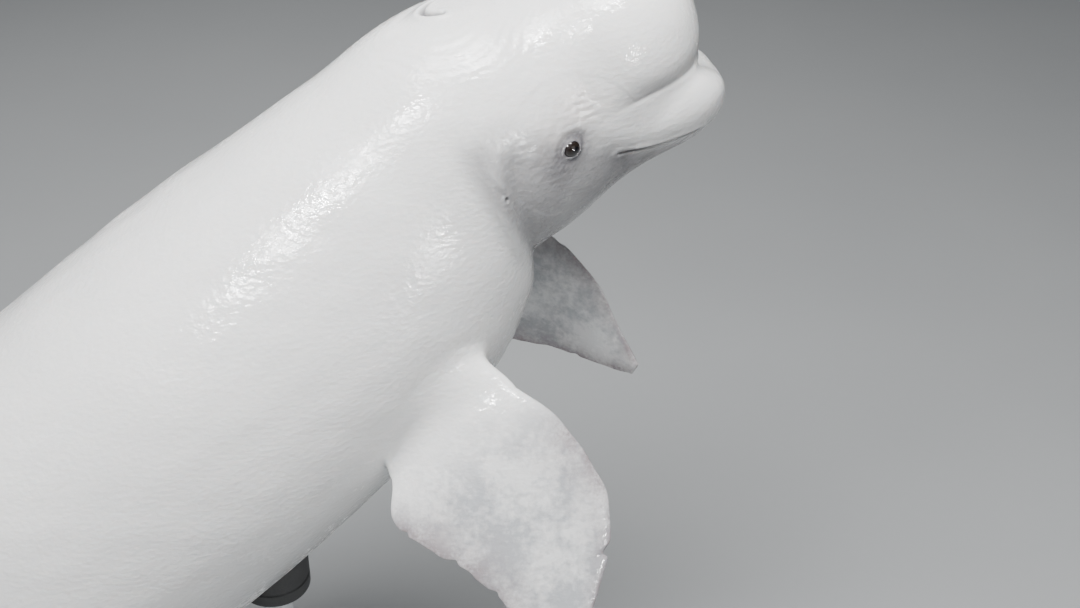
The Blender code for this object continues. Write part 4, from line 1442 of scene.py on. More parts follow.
@dataclass
class WhaleSkin:
    """The whale's whole skin as one seamless surface from beak to flukes."""

    flesh: Flesh
    spine: Spine
    flippers: list[Flipper]
    flukes: list[Fluke]
    reliefs: list[Relief]
    # Degrees from the back where columns must fall, and the number of columns between them
    column_stops: tuple[float, ...] = (0.0, 56.2105, 126.9474, 135.7895, 153.4737, 180.0)
    column_counts: tuple[int, ...] = (50, 62, 8, 16, 24)
    # Stations where rows must fall, and the rows' spacing between them
    row_stops: tuple[float, ...] = (FAN_END, NECK_END, 0.7230, 1.0320, 3.5960, 3.9160, TAIL_END)
    row_steps: tuple[float, ...] = (0.0036, 0.005, 0.007, 0.010, 0.0055, 0.005)
    nose_turn: float = math.radians(32)
    nose_step: float = 0.0036
    flipper_station: float = 1.10
    nodes: tuple[str, ...] = (
        *("head", "melon", "lower_jaw", "neck", "torso", "abdomen", "dorsal_ridge", "tail_stock"),
        *("flipper_left", "flipper_right", "fluke_left", "fluke_right"),
    )

    def angles(self) -> Array:
        """Angles of the columns round the trunk, in radians from the back's midline.

        Returns:
            The angles.
        """
        half = [0.0]
        for start, end, count in zip(self.column_stops, self.column_stops[1:], self.column_counts):
            half += list(np.linspace(start, end, count + 1)[1:])
        half = np.array(half)
        return np.radians(np.concatenate([half, 360.0 - half[-2:0:-1]]))

    def stations(self) -> Array:
        """Stations of the rows behind the head's front.

        Returns:
            The stations, from the front.
        """
        rows = [self.row_stops[0]]
        for start, end, step in zip(self.row_stops, self.row_stops[1:], self.row_steps):
            rows += list(np.linspace(start, end, round((end - start) / step) + 1)[1:])
        return np.array(rows)

    def trunk_grid(self, stations: Array, angles: Array) -> Array:
        """Surface points of the trunk, one row for each station.

        Args:
            stations: Stations of the rows.
            angles: Angles of the columns.

        Returns:
            The points, by row and column.
        """
        stations, angles = np.meshgrid(stations, angles, indexing="ij")
        turned = np.where(angles > math.pi, 2 * math.pi - angles, angles)
        side = np.where(angles > math.pi, -1.0, 1.0)
        for root in (FLIPPER_ROOT, FLUKE_ROOT):
            along, around = root.shift(stations, turned)
            stations = stations + along
            angles = angles + around * side
        heights = self.flesh.axis_height(stations)
        origins = np.stack([-stations, np.zeros_like(stations), heights], -1)
        ways = np.stack([np.zeros_like(angles), np.sin(angles), np.cos(angles)], -1)
        return self.flesh.cast(origins, ways)

    def nose_rays(self, turns: Array, angles: Array) -> Array:
        """Surface points of the head's front, along rays that fan out from one point.

        Args:
            turns: Turns of the rays from straight ahead.
            angles: Angles of the rays from the back's midline.

        Returns:
            The points.
        """
        around = np.stack([np.zeros_like(angles), np.sin(angles), np.cos(angles)], -1)
        ways = np.array([1.0, 0, 0]) * np.cos(turns)[..., None] + around * np.sin(turns)[..., None]
        origin = [-FAN_END, 0.0, float(self.flesh.axis_height(FAN_END))]
        return self.flesh.cast(np.broadcast_to(origin, ways.shape), ways)

    def nose_patch(self, angles: Array) -> tuple[Array, Array]:
        """Square grid over the very front of the head, whose border has as many points as a ring.

        Args:
            angles: Angles of the columns.

        Returns:
            The grid's points, and the row and column of each border point in the order of the angles.
        """
        cells = len(angles) // 4
        middle = cells // 2
        turned = np.zeros((cells + 1, cells + 1))
        closed = np.append(angles, 2 * math.pi)
        grid = np.arange(cells + 1) - middle
        down, across = np.meshgrid(grid, grid, indexing="ij")
        size = np.maximum(np.abs(down), np.abs(across))
        for k in range(1, middle + 1):
            ring = [(middle - k, middle + j) for j in range(k)]
            ring += [(middle + i, middle + k) for i in range(-k, k)]
            ring += [(middle + k, middle + j) for j in range(k, -k, -1)]
            ring += [(middle + i, middle - k) for i in range(k, -k, -1)]
            ring += [(middle - k, middle + j) for j in range(-k, 0)]
            places = np.arange(len(ring)) * len(angles) / len(ring)
            rows, columns = np.array(ring).T
            turned[rows, columns] = np.interp(places, np.arange(len(closed)), closed)
        turns = self.nose_turn * size / middle
        return self.nose_rays(turns, turned), np.array(ring)

    def border(self, root_rows: tuple[int, int], columns: tuple[int, int]) -> tuple[Array, Array]:
        """Rows and columns of the points round a root patch: front edge down, back, and up again.

        Args:
            root_rows: First and last row.
            columns: Upper and lower column.

        Returns:
            The rows and the columns.
        """
        first, last = root_rows
        high, low = columns
        step = 1 if low > high else -1
        across = np.arange(high, low + step, step)
        along = np.arange(first, last + 1)
        rows = [np.full(len(across), first), along[1:], np.full(len(across) - 1, last), along[-2:0:-1]]
        cols = [across, np.full(len(along) - 1, low), across[-2::-1], np.full(len(along) - 2, high)]
        return np.concatenate(rows), np.concatenate(cols)

    def add_fin(
        self, mesh: SkinMesh, fin: Fin, root: FinRoot, ids: Array, grid: Array, normals: Array, hole: Array
    ) -> None:
        """Opens the trunk's grid over a fin's root and grows the fin from the opening's border.

        Args:
            mesh: Mesh that the fin is added to.
            fin: The fin.
            root: Its root patch.
            ids: Point numbers of the trunk's grid.
            grid: Points of the trunk's grid.
            normals: Outward directions of the trunk's grid.
            hole: Marks of the grid's cells that stay open, which this adds to.
        """
        stations, angles = self.stations(), np.degrees(self.angles())
        rows = tuple(int(np.argmin(np.abs(stations - s))) for s in (root.near, root.far))
        high, low = (int(np.argmin(np.abs(angles - a))) for a in (root.high, root.low))
        if fin.side is Side.RIGHT:
            high, low = len(angles) - high, len(angles) - low
        hole[rows[0] : rows[1], min(high, low) : max(high, low)] = True
        i, j = self.border(rows, (high, low))
        turns = loop_turns(rows[1] - rows[0] + 1, abs(low - high) + 1)
        rings = fin.rings(grid[i, j], normals[i, j], turns)
        edge = np.maximum(bell(turns, 0.80), bell(turns - 2 * math.pi, 0.80))
        edge = np.maximum(edge, bell(turns - math.pi, 0.95))
        spread = np.linspace(0, 1, len(rings))[:, None]
        rim = edge * smooth_step((spread - 0.12) / 0.25) + 0.8 * smooth_step((spread - 0.86) / 0.14)
        fin_ids = mesh.add_points(rings, np.clip(rim, 0.001, 1.0), spread)
        previous = ids[i, j]
        for ring in fin_ids:
            mesh.add_strip(previous, ring)
            previous = ring
        mesh.close_ring(previous, abs(low - high) // 2)

    def shape(self) -> Object:
        """Makes the straight skin, without its relief.

        Returns:
            The skin as one closed object.
        """
        mesh = SkinMesh()
        angles, stations = self.angles(), self.stations()
        grid = self.trunk_grid(stations, angles)
        arc = FAN_END * (math.pi / 2 - self.nose_turn)
        turns = np.linspace(self.nose_turn, math.pi / 2, round(arc / self.nose_step))[1:-1]
        front = self.nose_rays(np.broadcast_to(turns[:, None], (len(turns), len(angles))), angles)
        patch, border = self.nose_patch(angles)
        patch_ids = mesh.add_points(patch)
        front_ids = mesh.add_points(front)
        ids = mesh.add_points(grid)
        mesh.add_grid(patch_ids)
        ring = patch_ids[border[:, 0], border[:, 1]]
        for row in list(front_ids) + [ids[0]]:
            mesh.add_strip(ring, row)
            ring = row
        along = np.gradient(grid, axis=0)
        around = np.roll(grid, -1, axis=1) - np.roll(grid, 1, axis=1)
        normals = np.cross(around, along)
        normals /= np.linalg.norm(normals, axis=-1)[..., None]
        hole = np.zeros((len(stations) - 1, len(angles)), bool)
        for flipper in self.flippers:
            self.add_fin(mesh, flipper, FLIPPER_ROOT, ids, grid, normals, hole)
        for fluke in self.flukes:
            self.add_fin(mesh, fluke, FLUKE_ROOT, ids, grid, normals, hole)
        beside = np.roll(ids, -1, axis=1)
        cells = np.stack([ids[:-1], beside[:-1], beside[1:], ids[1:]], -1)
        mesh.faces.append(cells[~hole])
        self._close_tail(mesh, grid[-1], ids[-1])
        return mesh.build("whale_skin")

    @staticmethod
    def _close_tail(mesh: SkinMesh, ring: Array, ids: Array) -> None:
        """Rounds off the trunk's end between the flukes.

        Args:
            mesh: The skin.
            ring: Points of its last ring.
            ids: Their numbers.
        """
        middle = ring.mean(0)
        for turn in np.linspace(0, math.pi / 2, 7)[1:]:
            shrink = max(math.cos(turn), 0.04)
            smaller = middle + (ring - middle) * shrink - [0.011 * math.sin(turn), 0, 0]
            fresh = mesh.add_points(smaller)
            mesh.add_strip(ids, fresh)
            ids = fresh
        mesh.close_ring(ids)

    def refine(self, obj: Object, rounds: int = 2) -> None:
        """Splits the faces near the small details, and settles the new points on the flesh.

        Args:
            obj: The straight skin, whose rim attribute is kept.
            rounds: How many times the faces are halved.
        """
        for _ in range(rounds):
            points = mesh_points(obj.data)
            body = read_attribute(obj.data, "rim") < 0
            close = np.zeros(len(points), bool)
            for relief in self.reliefs:
                close |= relief.close(points) & body
            before = len(points)
            with edited(obj.data) as shape:
                shape.verts.ensure_lookup_table()
                centres = [shape.verts[i] for i in np.flatnonzero(close)]
                wanted = {edge for vert in centres for face in vert.link_faces for edge in face.edges}
                wanted = sorted(wanted, key=lambda edge: edge.index)
                bmesh.ops.subdivide_edges(shape, edges=wanted, cuts=1, use_grid_fill=True)
            points = mesh_points(obj.data)
            points[before:] = self.flesh.settle(points[before:])
            set_mesh_points(obj.data, points)

    def smooth_roots(self, obj: Object, rounds: int = 14, reach: float = 0.018) -> None:
        """Softens the skin where the fins leave the trunk.

        Args:
            obj: The straight skin.
            rounds: Number of smoothing passes.
            reach: How far on either side of a root's border the skin is softened.
        """
        points, on_fin = mesh_points(obj.data), read_attribute(obj.data, "rim") >= 0
        edges = np.zeros(len(obj.data.edges) * 2, int)
        obj.data.edges.foreach_get("vertices", edges)
        edges = edges.reshape(-1, 2)
        border = np.unique(edges[on_fin[edges[:, 0]] != on_fin[edges[:, 1]]])
        tree = KDTree(len(border))
        for i in border:
            tree.insert(points[i], int(i))
        tree.balance()
        station = -points[:, 0]
        maybe = np.flatnonzero((station > 0.66) & (station < 1.10) | (station > 3.53))
        chosen = [i for i in maybe if tree.find(points[i])[2] < reach]
        axes = {"use_axis_x": True, "use_axis_y": True, "use_axis_z": True}
        with edited(obj.data) as shape:
            shape.verts.ensure_lookup_table()
            soft = [shape.verts[i] for i in chosen]
            for _ in range(rounds):
                bmesh.ops.smooth_vert(shape, verts=soft, factor=0.5, **axes)

    def emboss(self, obj: Object) -> None:
        """Sinks the folds and lifts the relief, and stores how dark the skin is with its marks and painted
        shade, and how rosy it is.

        Args:
            obj: The straight skin.
        """
        mesh = obj.data
        points, rim = mesh_points(mesh), read_attribute(mesh, "rim")
        body = rim < 0
        radial = points * [0, 1, 1] - np.stack([0 * rim, 0 * rim, self.flesh.axis_height(-points[:, 0])], -1)
        radial /= np.maximum(np.linalg.norm(radial, axis=1), 1e-6)[:, None]
        points[body] -= (radial * fold_depth(points)[:, None])[body]
        set_mesh_points(mesh, points)
        normals = np.zeros(len(points) * 3, np.float32)
        mesh.vertex_normals.foreach_get("vector", normals)
        normals = normals.reshape(-1, 3)
        total = SkinField.flat(len(points))
        for relief in self.reliefs:
            total = total + relief.field(points)
        lift = np.where(body, total.lift, 0.0)
        points = points + normals * lift[:, None]
        set_mesh_points(mesh, points)
        set_attribute(mesh, "marks_and_shade", np.where(body, total.marks_and_shade, 0.0))
        set_attribute(mesh, "blush", np.where(body, total.blush, 0.0))

    def build(self) -> Object:
        """Makes the posed skin with all its relief.

        Returns:
            The skin in its final place.
        """
        obj = self.shape()
        self.refine(obj)
        self.smooth_roots(obj)
        self.emboss(obj)
        mesh = obj.data
        points, rim = mesh_points(mesh), read_attribute(mesh, "rim")
        on_flipper = (rim >= 0) & (points[:, 0] > -2.0)
        own = np.where(on_flipper, self.flipper_station, -points[:, 0])
        set_mesh_points(mesh, self.spine.pose(points, own))
        with edited(mesh) as shape:
            bmesh.ops.dissolve_degenerate(shape, dist=1e-6, edges=shape.edges)
            bmesh.ops.recalc_face_normals(shape, faces=shape.faces)
            if shape.calc_volume(signed=True) < 0:
                bmesh.ops.reverse_faces(shape, faces=shape.faces)
        mesh.shade_smooth()
        return obj

    def dress(self, obj: Object, finish: "SkinFinish") -> None:
        """Gives the skin its finish and its place in the frame.

        Args:
            obj: The skin.
            finish: Its finish.
        """
        obj.data.materials.append(finish.material())
        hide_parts(*self.nodes)
        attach(obj, "root")


# Eyes


@dataclass
class Eyeball:
    """One eyeball with a raised cornea, its iris and pupil drawn by its finish."""

    side: Side
    place: Place
    spine: Spine
    cornea_half: float = 0.0105
    cornea_rise: float = 0.0007
    rings: int = 48
    columns: int = 64

    def build(self) -> Object:
        """Makes the eyeball, its own +Z out of the head and its origin at its centre.

        Returns:
            The eyeball in its place.
        """
        turns = np.linspace(math.pi, 0, self.rings + 1)
        radii = EYE_RADIUS + self.cornea_rise * bell(turns * EYE_RADIUS, self.cornea_half * 0.75)
        sizes = radii * np.sin(turns) * (turns > 0) * (turns < math.pi)
        profile = list(zip(sizes, radii * np.cos(turns)))
        obj = lathe("eye_ball_" + self.side.word, profile, Vector(), self.columns)
        obj.matrix_world = self.matrix()
        return obj

    def matrix(self) -> Matrix:
        """World place of the eyeball, turned so that +X runs forward along the lids.

        Returns:
            The place as a matrix.
        """
        centre = self.place.point - self.place.out * EYE_DEPTH
        tips = [centre + axis * 0.01 for axis in (self.place.ahead, self.place.up, self.place.out)]
        centre, *tips = self.spine.pose(np.array([centre, *tips]))
        axes = [unit(tip - centre) for tip in tips]
        axes[1] = np.cross(axes[2], axes[0])
        turn = Matrix([list(row) for row in np.array(axes).T]).to_4x4()
        return Matrix.Translation(Vector(centre)) @ turn

    def dress(self, obj: Object, finish: "EyeFinish") -> None:
        """Gives the eyeball its finish and its place in the frame.

        Args:
            obj: The eyeball.
            finish: Its finish.
        """
        obj.data.materials.append(finish.material())
        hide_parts("eye_" + self.side.word)
        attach(obj, "root")


# Display stand


@dataclass
class StandBase:
    """Flat base with round ends and a rounded top edge."""

    corner: float = 0.014
    corner_steps: int = 8
    foot: float = 0.003
    end_steps: int = 72

    def build(self) -> Object:
        """Makes the base to the size of its solid.

        Returns:
            The base as one closed mesh.
        """
        low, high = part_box("stand_base")
        half_wide = (high.y - low.y) / 2
        middle_x, middle_y = (high.x + low.x) / 2, (high.y + low.y) / 2
        straight = (high.x - low.x) / 2 - half_wide
        outline = []
        for end, start in ((1, -90), (-1, 90)):
            for turn in np.radians(np.linspace(start, start + 180, self.end_steps)):
                outline.append((middle_x + end * straight, math.cos(turn), math.sin(turn)))
        profile = [(half_wide - self.foot, low.z), (half_wide, low.z + self.foot)]
        profile += rounded_edge(half_wide, high.z, self.corner, self.corner_steps)
        shape = bmesh.new()
        rings = []
        for radius, height in profile:
            ring = [(x + radius * c, middle_y + radius * s, height) for x, c, s in outline]
            rings.append([shape.verts.new(p) for p in ring])
        join_rings(shape, rings)
        shape.faces.new(rings[0][::-1])
        shape.faces.new(rings[-1])
        return shape_object("stand_base_board", shape, 28)

    def dress(self, obj: Object, finish: "PaintFinish") -> None:
        """Gives the base its finish and its place in the frame.

        Args:
            obj: The base.
            finish: Its finish.
        """
        obj.data.materials.append(finish.material())
        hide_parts("stand_base")
        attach(obj, "root")


@dataclass
class StandPost:
    """One rod with its bolted collar below and its padded cradle above."""

    word: str
    edge: float = 0.003
    edge_steps: int = 5
    # Shares of the collar's radius and height
    neck_radius: float = 0.60
    flange_top: float = 0.42
    # Radius past the neck and share of the height of the hollow between flange and neck
    neck_foot: Rows = ((0.010, 0.42), (0.003, 0.47), (0.0, 0.60))
    bolt_count: int = 4
    bolt_radius: float = 0.0065
    bolt_circle: float = 0.0555
    bolt_height: float = 0.0052
    bolt_edge: float = 0.002
    recess_radius: float = 0.55
    recess_floor: float = 0.0022
    chamfer: float = 0.0015
    # Turned line of the rod: distance below its top, half height and depth
    line_drop: float = 0.030
    line_half: float = 0.002
    line_depth: float = 0.0012
    # Radius short of the pad's own and height of each ring up to its wall
    pad_foot: Rows = (
        (0.006, 0.0), (0.001, 0.002), (0.0, 0.006), (0.0, 0.030), (0.0025, 0.0325),
        (0.0025, 0.0365), (0.0, 0.039),
    )
    pad_core: float = 0.0005
    pad_segments: int = 96
    wall_shares: Sequence[float] = tuple(np.linspace(0.12, 0.94, 8))
    top_shares: Sequence[float] = tuple(np.linspace(0.97, 0.03, 18))
    # Radius short of the pad's own and drop below its top of the rings that round its rim
    pad_rim: Rows = ((0.0, 0.0025), (0.0008, 0.0009))
    wall_drop: float = 0.0015
    clearance: float = 0.0006
    probe_below: float = 0.05
    probe_reach: float = 0.6

    def build_collar(self) -> Object:
        """Turned flange with a rounded rim and a short neck.

        Returns:
            The collar with its bolts.
        """
        low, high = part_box("stand_collar_" + self.word)
        foot = self._foot(low, high)
        radius, tall = (high.x - low.x) / 2, high.z - low.z
        neck, flange = radius * self.neck_radius, tall * self.flange_top
        profile = [(0.0, 0.0), (radius - 0.001, 0.0), (radius, 0.001)]
        profile += rounded_edge(radius, flange, self.edge, self.edge_steps)
        profile += [(neck + past, tall * share) for past, share in self.neck_foot]
        profile += rounded_edge(neck, tall, self.edge, self.edge_steps)
        profile += [(0.0, tall)]
        collar = lathe("stand_flange_" + self.word, profile, foot)
        for k in range(self.bolt_count):
            place = circle_point(foot, self.bolt_circle, flange, (k + 0.5) / self.bolt_count)
            self._add_bolt(collar, Vector(place))
        return collar

    def _add_bolt(self, collar: Object, place: Vector) -> None:
        """Adds a round-headed bolt with a round recess to the collar's mesh.

        Args:
            collar: The collar.
            place: Middle of the bolt's seat.
        """
        r, recess = self.bolt_radius, self.bolt_radius * self.recess_radius
        profile = [(0.0, -0.001), (r, -0.001)]
        profile += rounded_edge(r, self.bolt_height, self.bolt_edge, self.edge_steps)
        profile += [(recess, self.bolt_height), (recess, self.recess_floor), (0.0, self.recess_floor)]
        bolt = lathe("bolt", profile, place, segments=24)
        with edited(collar.data) as shape:
            shape.from_mesh(bolt.data)
        bpy.data.objects.remove(bolt)

    @staticmethod
    def _foot(low: Vector, high: Vector) -> Vector:
        """Middle of a box's underside."""
        return Vector(((low.x + high.x) / 2, (low.y + high.y) / 2, low.z))

    def build_rod(self) -> Object:
        """Round rod with chamfered ends and a turned line near its top.

        Returns:
            The rod.
        """
        low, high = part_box("stand_rod_" + self.word)
        radius, tall = (high.x - low.x) / 2, high.z - low.z
        line, cut = tall - self.line_drop, self.chamfer
        profile = [(0.0, 0.0), (radius - cut, 0.0), (radius, cut), (radius, line - self.line_half)]
        profile += [(radius - self.line_depth, line), (radius, line + self.line_half)]
        profile += [(radius, tall - cut), (radius - cut, tall), (0.0, tall)]
        return lathe("stand_post_" + self.word, profile, self._foot(low, high))

    def build_cradle(self, belly: BVHTree) -> Object:
        """Rubber pad with a groove round its foot, whose top follows the belly.

        Args:
            belly: Skin of the posed whale.

        Returns:
            The pad as one closed mesh.
        """
        low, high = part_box("stand_cradle_" + self.word)
        radius = (high.x - low.x) / 2
        foot = self._foot(low, high)
        below, up = foot.z - self.probe_below, Vector((0, 0, 1))
        turns = [k / self.pad_segments for k in range(self.pad_segments)]
        shape = bmesh.new()

        def touch(x: float, y: float) -> float:
            """Height of the pad's top under the belly."""
            hit = belly.ray_cast(Vector((x, y, below)), up, self.probe_reach)[0]
            return min(hit.z - self.clearance if hit else high.z, high.z)

        def ring(size: float, height: Callable[[float], float]) -> list[bmesh.types.BMVert]:
            """Ring of the pad, with a height worked out from the top's own at each point."""
            places = [circle_point(foot, size, 0.0, turn) for turn in turns]
            return [shape.verts.new((x, y, height(touch(x, y)))) for x, y, _ in places]

        wall = foot.z + self.pad_foot[-1][1]
        rings = [ring(self.pad_core, lambda top: foot.z)]
        rings += [ring(radius - inset, lambda top: foot.z + rise) for inset, rise in self.pad_foot]
        shares = self.wall_shares
        rings += [ring(radius, lambda top: wall + (top - self.wall_drop - wall) * s) for s in shares]
        rings += [ring(radius - inset, lambda top: top - drop) for inset, drop in self.pad_rim]
        rings += [ring(radius * share, lambda top: top) for share in self.top_shares]
        join_rings(shape, rings)
        shape.faces.new(rings[0][::-1])
        shape.faces.new(rings[-1])
        return shape_object("stand_pad_" + self.word, shape, 40)

    def dress(self, pieces: dict[str, Object], steel: Material, rubber: Material) -> None:
        """Gives the post's pieces their finishes and their places in the frame.

        Args:
            pieces: The pieces by the middle word of their nodes' names.
            steel: Material of collar and rod.
            rubber: Material of the cradle.
        """
        for part, obj in pieces.items():
            is_pad = part == "cradle"
            obj.data.materials.append(rubber if is_pad else steel)
            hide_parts(f"stand_{part}_{self.word}")
            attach(obj, "root")


# Shader wiring


class Wiring:
    """Adds and joins nodes in one node tree."""

    def __init__(self, tree: NodeTree) -> None:
        """Starts in a tree."""
        self.tree = tree

    def add(self, kind: str, inputs: dict | None = None, **settings: object) -> bpy.types.Node:
        """Adds a node.

        Args:
            kind: The node's type, without its "ShaderNode" prefix.
            inputs: Values or sockets for its inputs, by name or number.
            settings: Properties of the node.

        Returns:
            The node.
        """
        node = self.tree.nodes.new(kind if kind.startswith("Node") else "ShaderNode" + kind)
        for key, value in settings.items():
            setattr(node, key, value)
        self.feed(node, inputs or {})
        return node

    def feed(self, node: bpy.types.Node, inputs: dict) -> None:
        """Sets a node's inputs, by name or number, to values or joins them to sockets.

        Args:
            node: The node.
            inputs: Values or sockets, by the inputs' names or numbers.
        """
        for key, value in inputs.items():
            if isinstance(value, Socket):
                self.tree.links.new(value, node.inputs[key])
            else:
                node.inputs[key].default_value = value

    def math(self, operation: str, first: Socket | float, second: Socket | float) -> Socket:
        """Sum, product or other operation on two values."""
        return self.add("Math", {0: first, 1: second}, operation=operation).outputs[0]

    def mix(self, factor: Socket | float, first: object, second: object) -> Socket:
        """Colour between two colours."""
        node = self.add("Mix", {0: factor, 6: first, 7: second}, data_type="RGBA")
        return node.outputs[2]

    def scale(self, value: Socket, low: float, high: float, to_low: float = 0, to_high: float = 1) -> Socket:
        """Value carried from one range to another and kept within it."""
        inputs = {"Value": value, 1: low, 2: high, 3: to_low, 4: to_high}
        return self.add("MapRange", inputs).outputs[0]

    def share(self, value: Socket, to_low: float, to_high: float) -> Socket:
        """Mask from 0 to 1 carried to another range."""
        return self.scale(value, 0, 1, to_low, to_high)

    def product(self, first: Socket, second: Socket | float) -> Socket:
        """Product of two values."""
        return self.math("MULTIPLY", first, second)

    def noise(self, place: Socket, scale: Socket | float, detail: float, roughness: float) -> Socket:
        """Cloudy noise at a place, with a number of layers and the share of each finer one."""
        inputs = {"Vector": place, "Scale": scale, "Detail": detail, "Roughness": roughness}
        return self.add("TexNoise", inputs).outputs[0]

    def between(self, factor: Socket, first: Socket, second: Socket) -> Socket:
        """Value between two values."""
        return self.add("Mix", {0: factor, 2: first, 3: second}, data_type="FLOAT").outputs[0]

    def bump(self, height: Socket, strength: float, distance: float) -> Socket:
        """Normals of a surface with a relief."""
        return self.add("Bump", {"Height": height, "Strength": strength, "Distance": distance}).outputs[0]

    def attribute(self, name: str) -> Socket:
        """Number stored at the mesh's points."""
        return self.add("Attribute", attribute_name=name).outputs["Fac"]

    def place(self) -> Socket:
        """Place on the object in its own metres."""
        return self.add("TexCoord").outputs["Object"]


def start_group(
    name: str, inputs: Sequence[tuple[str, str, object]], output: str
) -> tuple[NodeTree, Wiring, bpy.types.NodeOutputs]:
    """Starts a node group with one number as its output.

    Args:
        name: Name of the group.
        inputs: Name, kind and default of each input.
        output: Name of the output.

    Returns:
        The group's tree, its wiring and the sockets that its inputs come from.
    """
    tree = bpy.data.node_groups.new(name, "ShaderNodeTree")
    for title, kind, value in inputs:
        made = tree.interface.new_socket(title, in_out="INPUT", socket_type="NodeSocket" + kind)
        if value is not None:
            made.default_value = value
    tree.interface.new_socket(output, in_out="OUTPUT", socket_type="NodeSocketFloat")
    wire = Wiring(tree)
    return tree, wire, wire.add("NodeGroupInput").outputs


@cache
def soft_mottle() -> NodeTree:
    """Group with two layers of soft blotches, as one mask.

    Returns:
        The group's tree.
    """
    inputs = [
        ("Place", "Vector", None),
        ("Blotches per metre", "Float", 4.0),
        ("Specks per metre", "Float", 60.0),
        ("Speck share", "Float", 0.3),
    ]
    tree, wire, source = start_group("soft_mottle", inputs, "Mask")
    large = wire.noise(source["Place"], source["Blotches per metre"], 3.0, 0.55)
    small = wire.noise(source["Place"], source["Specks per metre"], 4.0, 0.6)
    mixed = wire.between(source["Speck share"], large, small)
    wire.add("NodeGroupOutput", {"Mask": wire.scale(mixed, 0.32, 0.68)})
    return tree


@cache
def fine_grain() -> NodeTree:
    """Group with fine surface grain, stretched along an axis, as a height.

    Returns:
        The group's tree.
    """
    inputs = [
        ("Place", "Vector", None),
        ("Stretch", "Vector", (1.0, 1.0, 1.0)),
        ("Grains per metre", "Float", 400.0),
        ("Pits", "Float", 0.4),
    ]
    tree, wire, source = start_group("fine_grain", inputs, "Height")
    stretch = {0: source["Place"], 1: source["Stretch"]}
    stretched = wire.add("VectorMath", stretch, operation="MULTIPLY").outputs[0]
    noise = wire.noise(stretched, source["Grains per metre"], 3.0, 0.5)
    cells = wire.add("TexVoronoi", {"Vector": stretched, "Scale": source["Grains per metre"]}).outputs[0]
    wire.add("NodeGroupOutput", {"Height": wire.between(source["Pits"], noise, cells)})
    return tree


class Finish:
    """Base of the finishes, each of which says what its shader is fed."""

    name: str = "finish"

    def looks(self, wire: Wiring, place: Socket) -> dict:
        """Values and sockets for the shader's inputs, from a place on the object.

        Args:
            wire: The material's wiring.
            place: Place on the object.

        Returns:
            Values and sockets, by the inputs' names.
        """
        raise NotImplementedError

    def material(self) -> Material:
        """Builds the material.

        Returns:
            The material.
        """
        made = bpy.data.materials.new(self.name)
        made.use_nodes = True
        wire = Wiring(made.node_tree)
        wire.feed(made.node_tree.nodes["Principled BSDF"], self.looks(wire, wire.place()))
        return made

    @staticmethod
    def _mottle(wire: Wiring, place: Socket, large: float, small: float, share: float) -> Socket:
        """Mask of soft blotches, with their number per metre, that of finer specks and the specks' share."""
        sizes = {"Blotches per metre": large, "Specks per metre": small, "Speck share": share}
        return wire.add("Group", {"Place": place} | sizes, node_tree=soft_mottle()).outputs["Mask"]

    @staticmethod
    def _grain(wire: Wiring, place: Socket, size: float, pits: float, stretch: Triple = (1, 1, 1)) -> Socket:
        """Height of fine grain, with its number per metre, its share of pits and how much finer it is."""
        inputs = {"Place": place, "Stretch": stretch, "Grains per metre": size, "Pits": pits}
        return wire.add("Group", inputs, node_tree=fine_grain()).outputs["Height"]


# Finishes


@dataclass(frozen=True)
class SkinFinish(Finish):
    """Wet white skin with faint grey clouds, rosy patches, grey round eyes, mouth and fin edges, and painted
    shade on the lower head, under the melon, in the neck's hollow and in pits and slits.
    """

    name: str = "beluga_skin"
    white: Colour = (0.825, 0.822, 0.810, 1)
    cloud: Colour = (0.640, 0.648, 0.660, 1)
    rose: Colour = (0.640, 0.555, 0.530, 1)
    # Dark colour of the marks and of the painted shade
    slate: Colour = (0.076, 0.071, 0.082, 1)
    paddle: Colour = (0.400, 0.412, 0.430, 1)
    edge: Colour = (0.265, 0.232, 0.242, 1)
    cloud_share: float = 0.34
    pore_share: float = 0.10
    film_stretch: Triple = (0.7, 1.0, 1.0)
    roughness: tuple[float, float] = (0.07, 0.30)

    def looks(self, wire: Wiring, place: Socket) -> dict:
        """White with clouds, rosy patches, greys and painted shade, wet and faintly translucent."""
        clouds = self._mottle(wire, place, 3.2, 38.0, 0.30)
        colour = wire.mix(wire.product(clouds, self.cloud_share), self.white, self.cloud)
        blots = self._mottle(wire, place, 17.0, 160.0, 0.45)
        rosy = wire.product(wire.attribute("blush"), wire.share(blots, 0.30, 0.75))
        colour = wire.mix(rosy, colour, self.rose)
        drifts = self._mottle(wire, place, 11.0, 75.0, 0.35)
        paddle = wire.scale(wire.attribute("span"), 0.04, 0.36)
        paddle = wire.product(paddle, wire.scale(drifts, 0.30, 0.72, 0.28, 1.0))
        colour = wire.mix(paddle, colour, self.paddle)
        rim = wire.scale(wire.attribute("rim"), 0.10, 0.90, 0.0, 0.95)
        rim = wire.product(rim, wire.scale(blots, 0.25, 0.75, 0.45, 1.0))
        colour = wire.mix(rim, colour, self.edge)
        # Marks and painted shade stored at the points, broken up by blots
        marks_and_shade = wire.product(wire.attribute("marks_and_shade"), wire.share(blots, 0.80, 1.0))
        wet = self._mottle(wire, place, 9.0, 70.0, 0.45)
        pores = self._grain(wire, place, 260.0, 0.35)
        film = self._grain(wire, place, 105.0, 0.25, self.film_stretch)
        height = wire.math("ADD", wire.product(pores, self.pore_share), film)
        return {
            "Base Color": wire.mix(marks_and_shade, colour, self.slate),
            "Roughness": wire.scale(wet, 0.30, 0.70, *self.roughness),
            "Normal": wire.bump(height, 0.65, 0.0022),
            "Subsurface Weight": 0.12,
            "Subsurface Radius": (1.0, 0.62, 0.45),
            "Subsurface Scale": 0.012,
            "IOR": 1.42,
        }


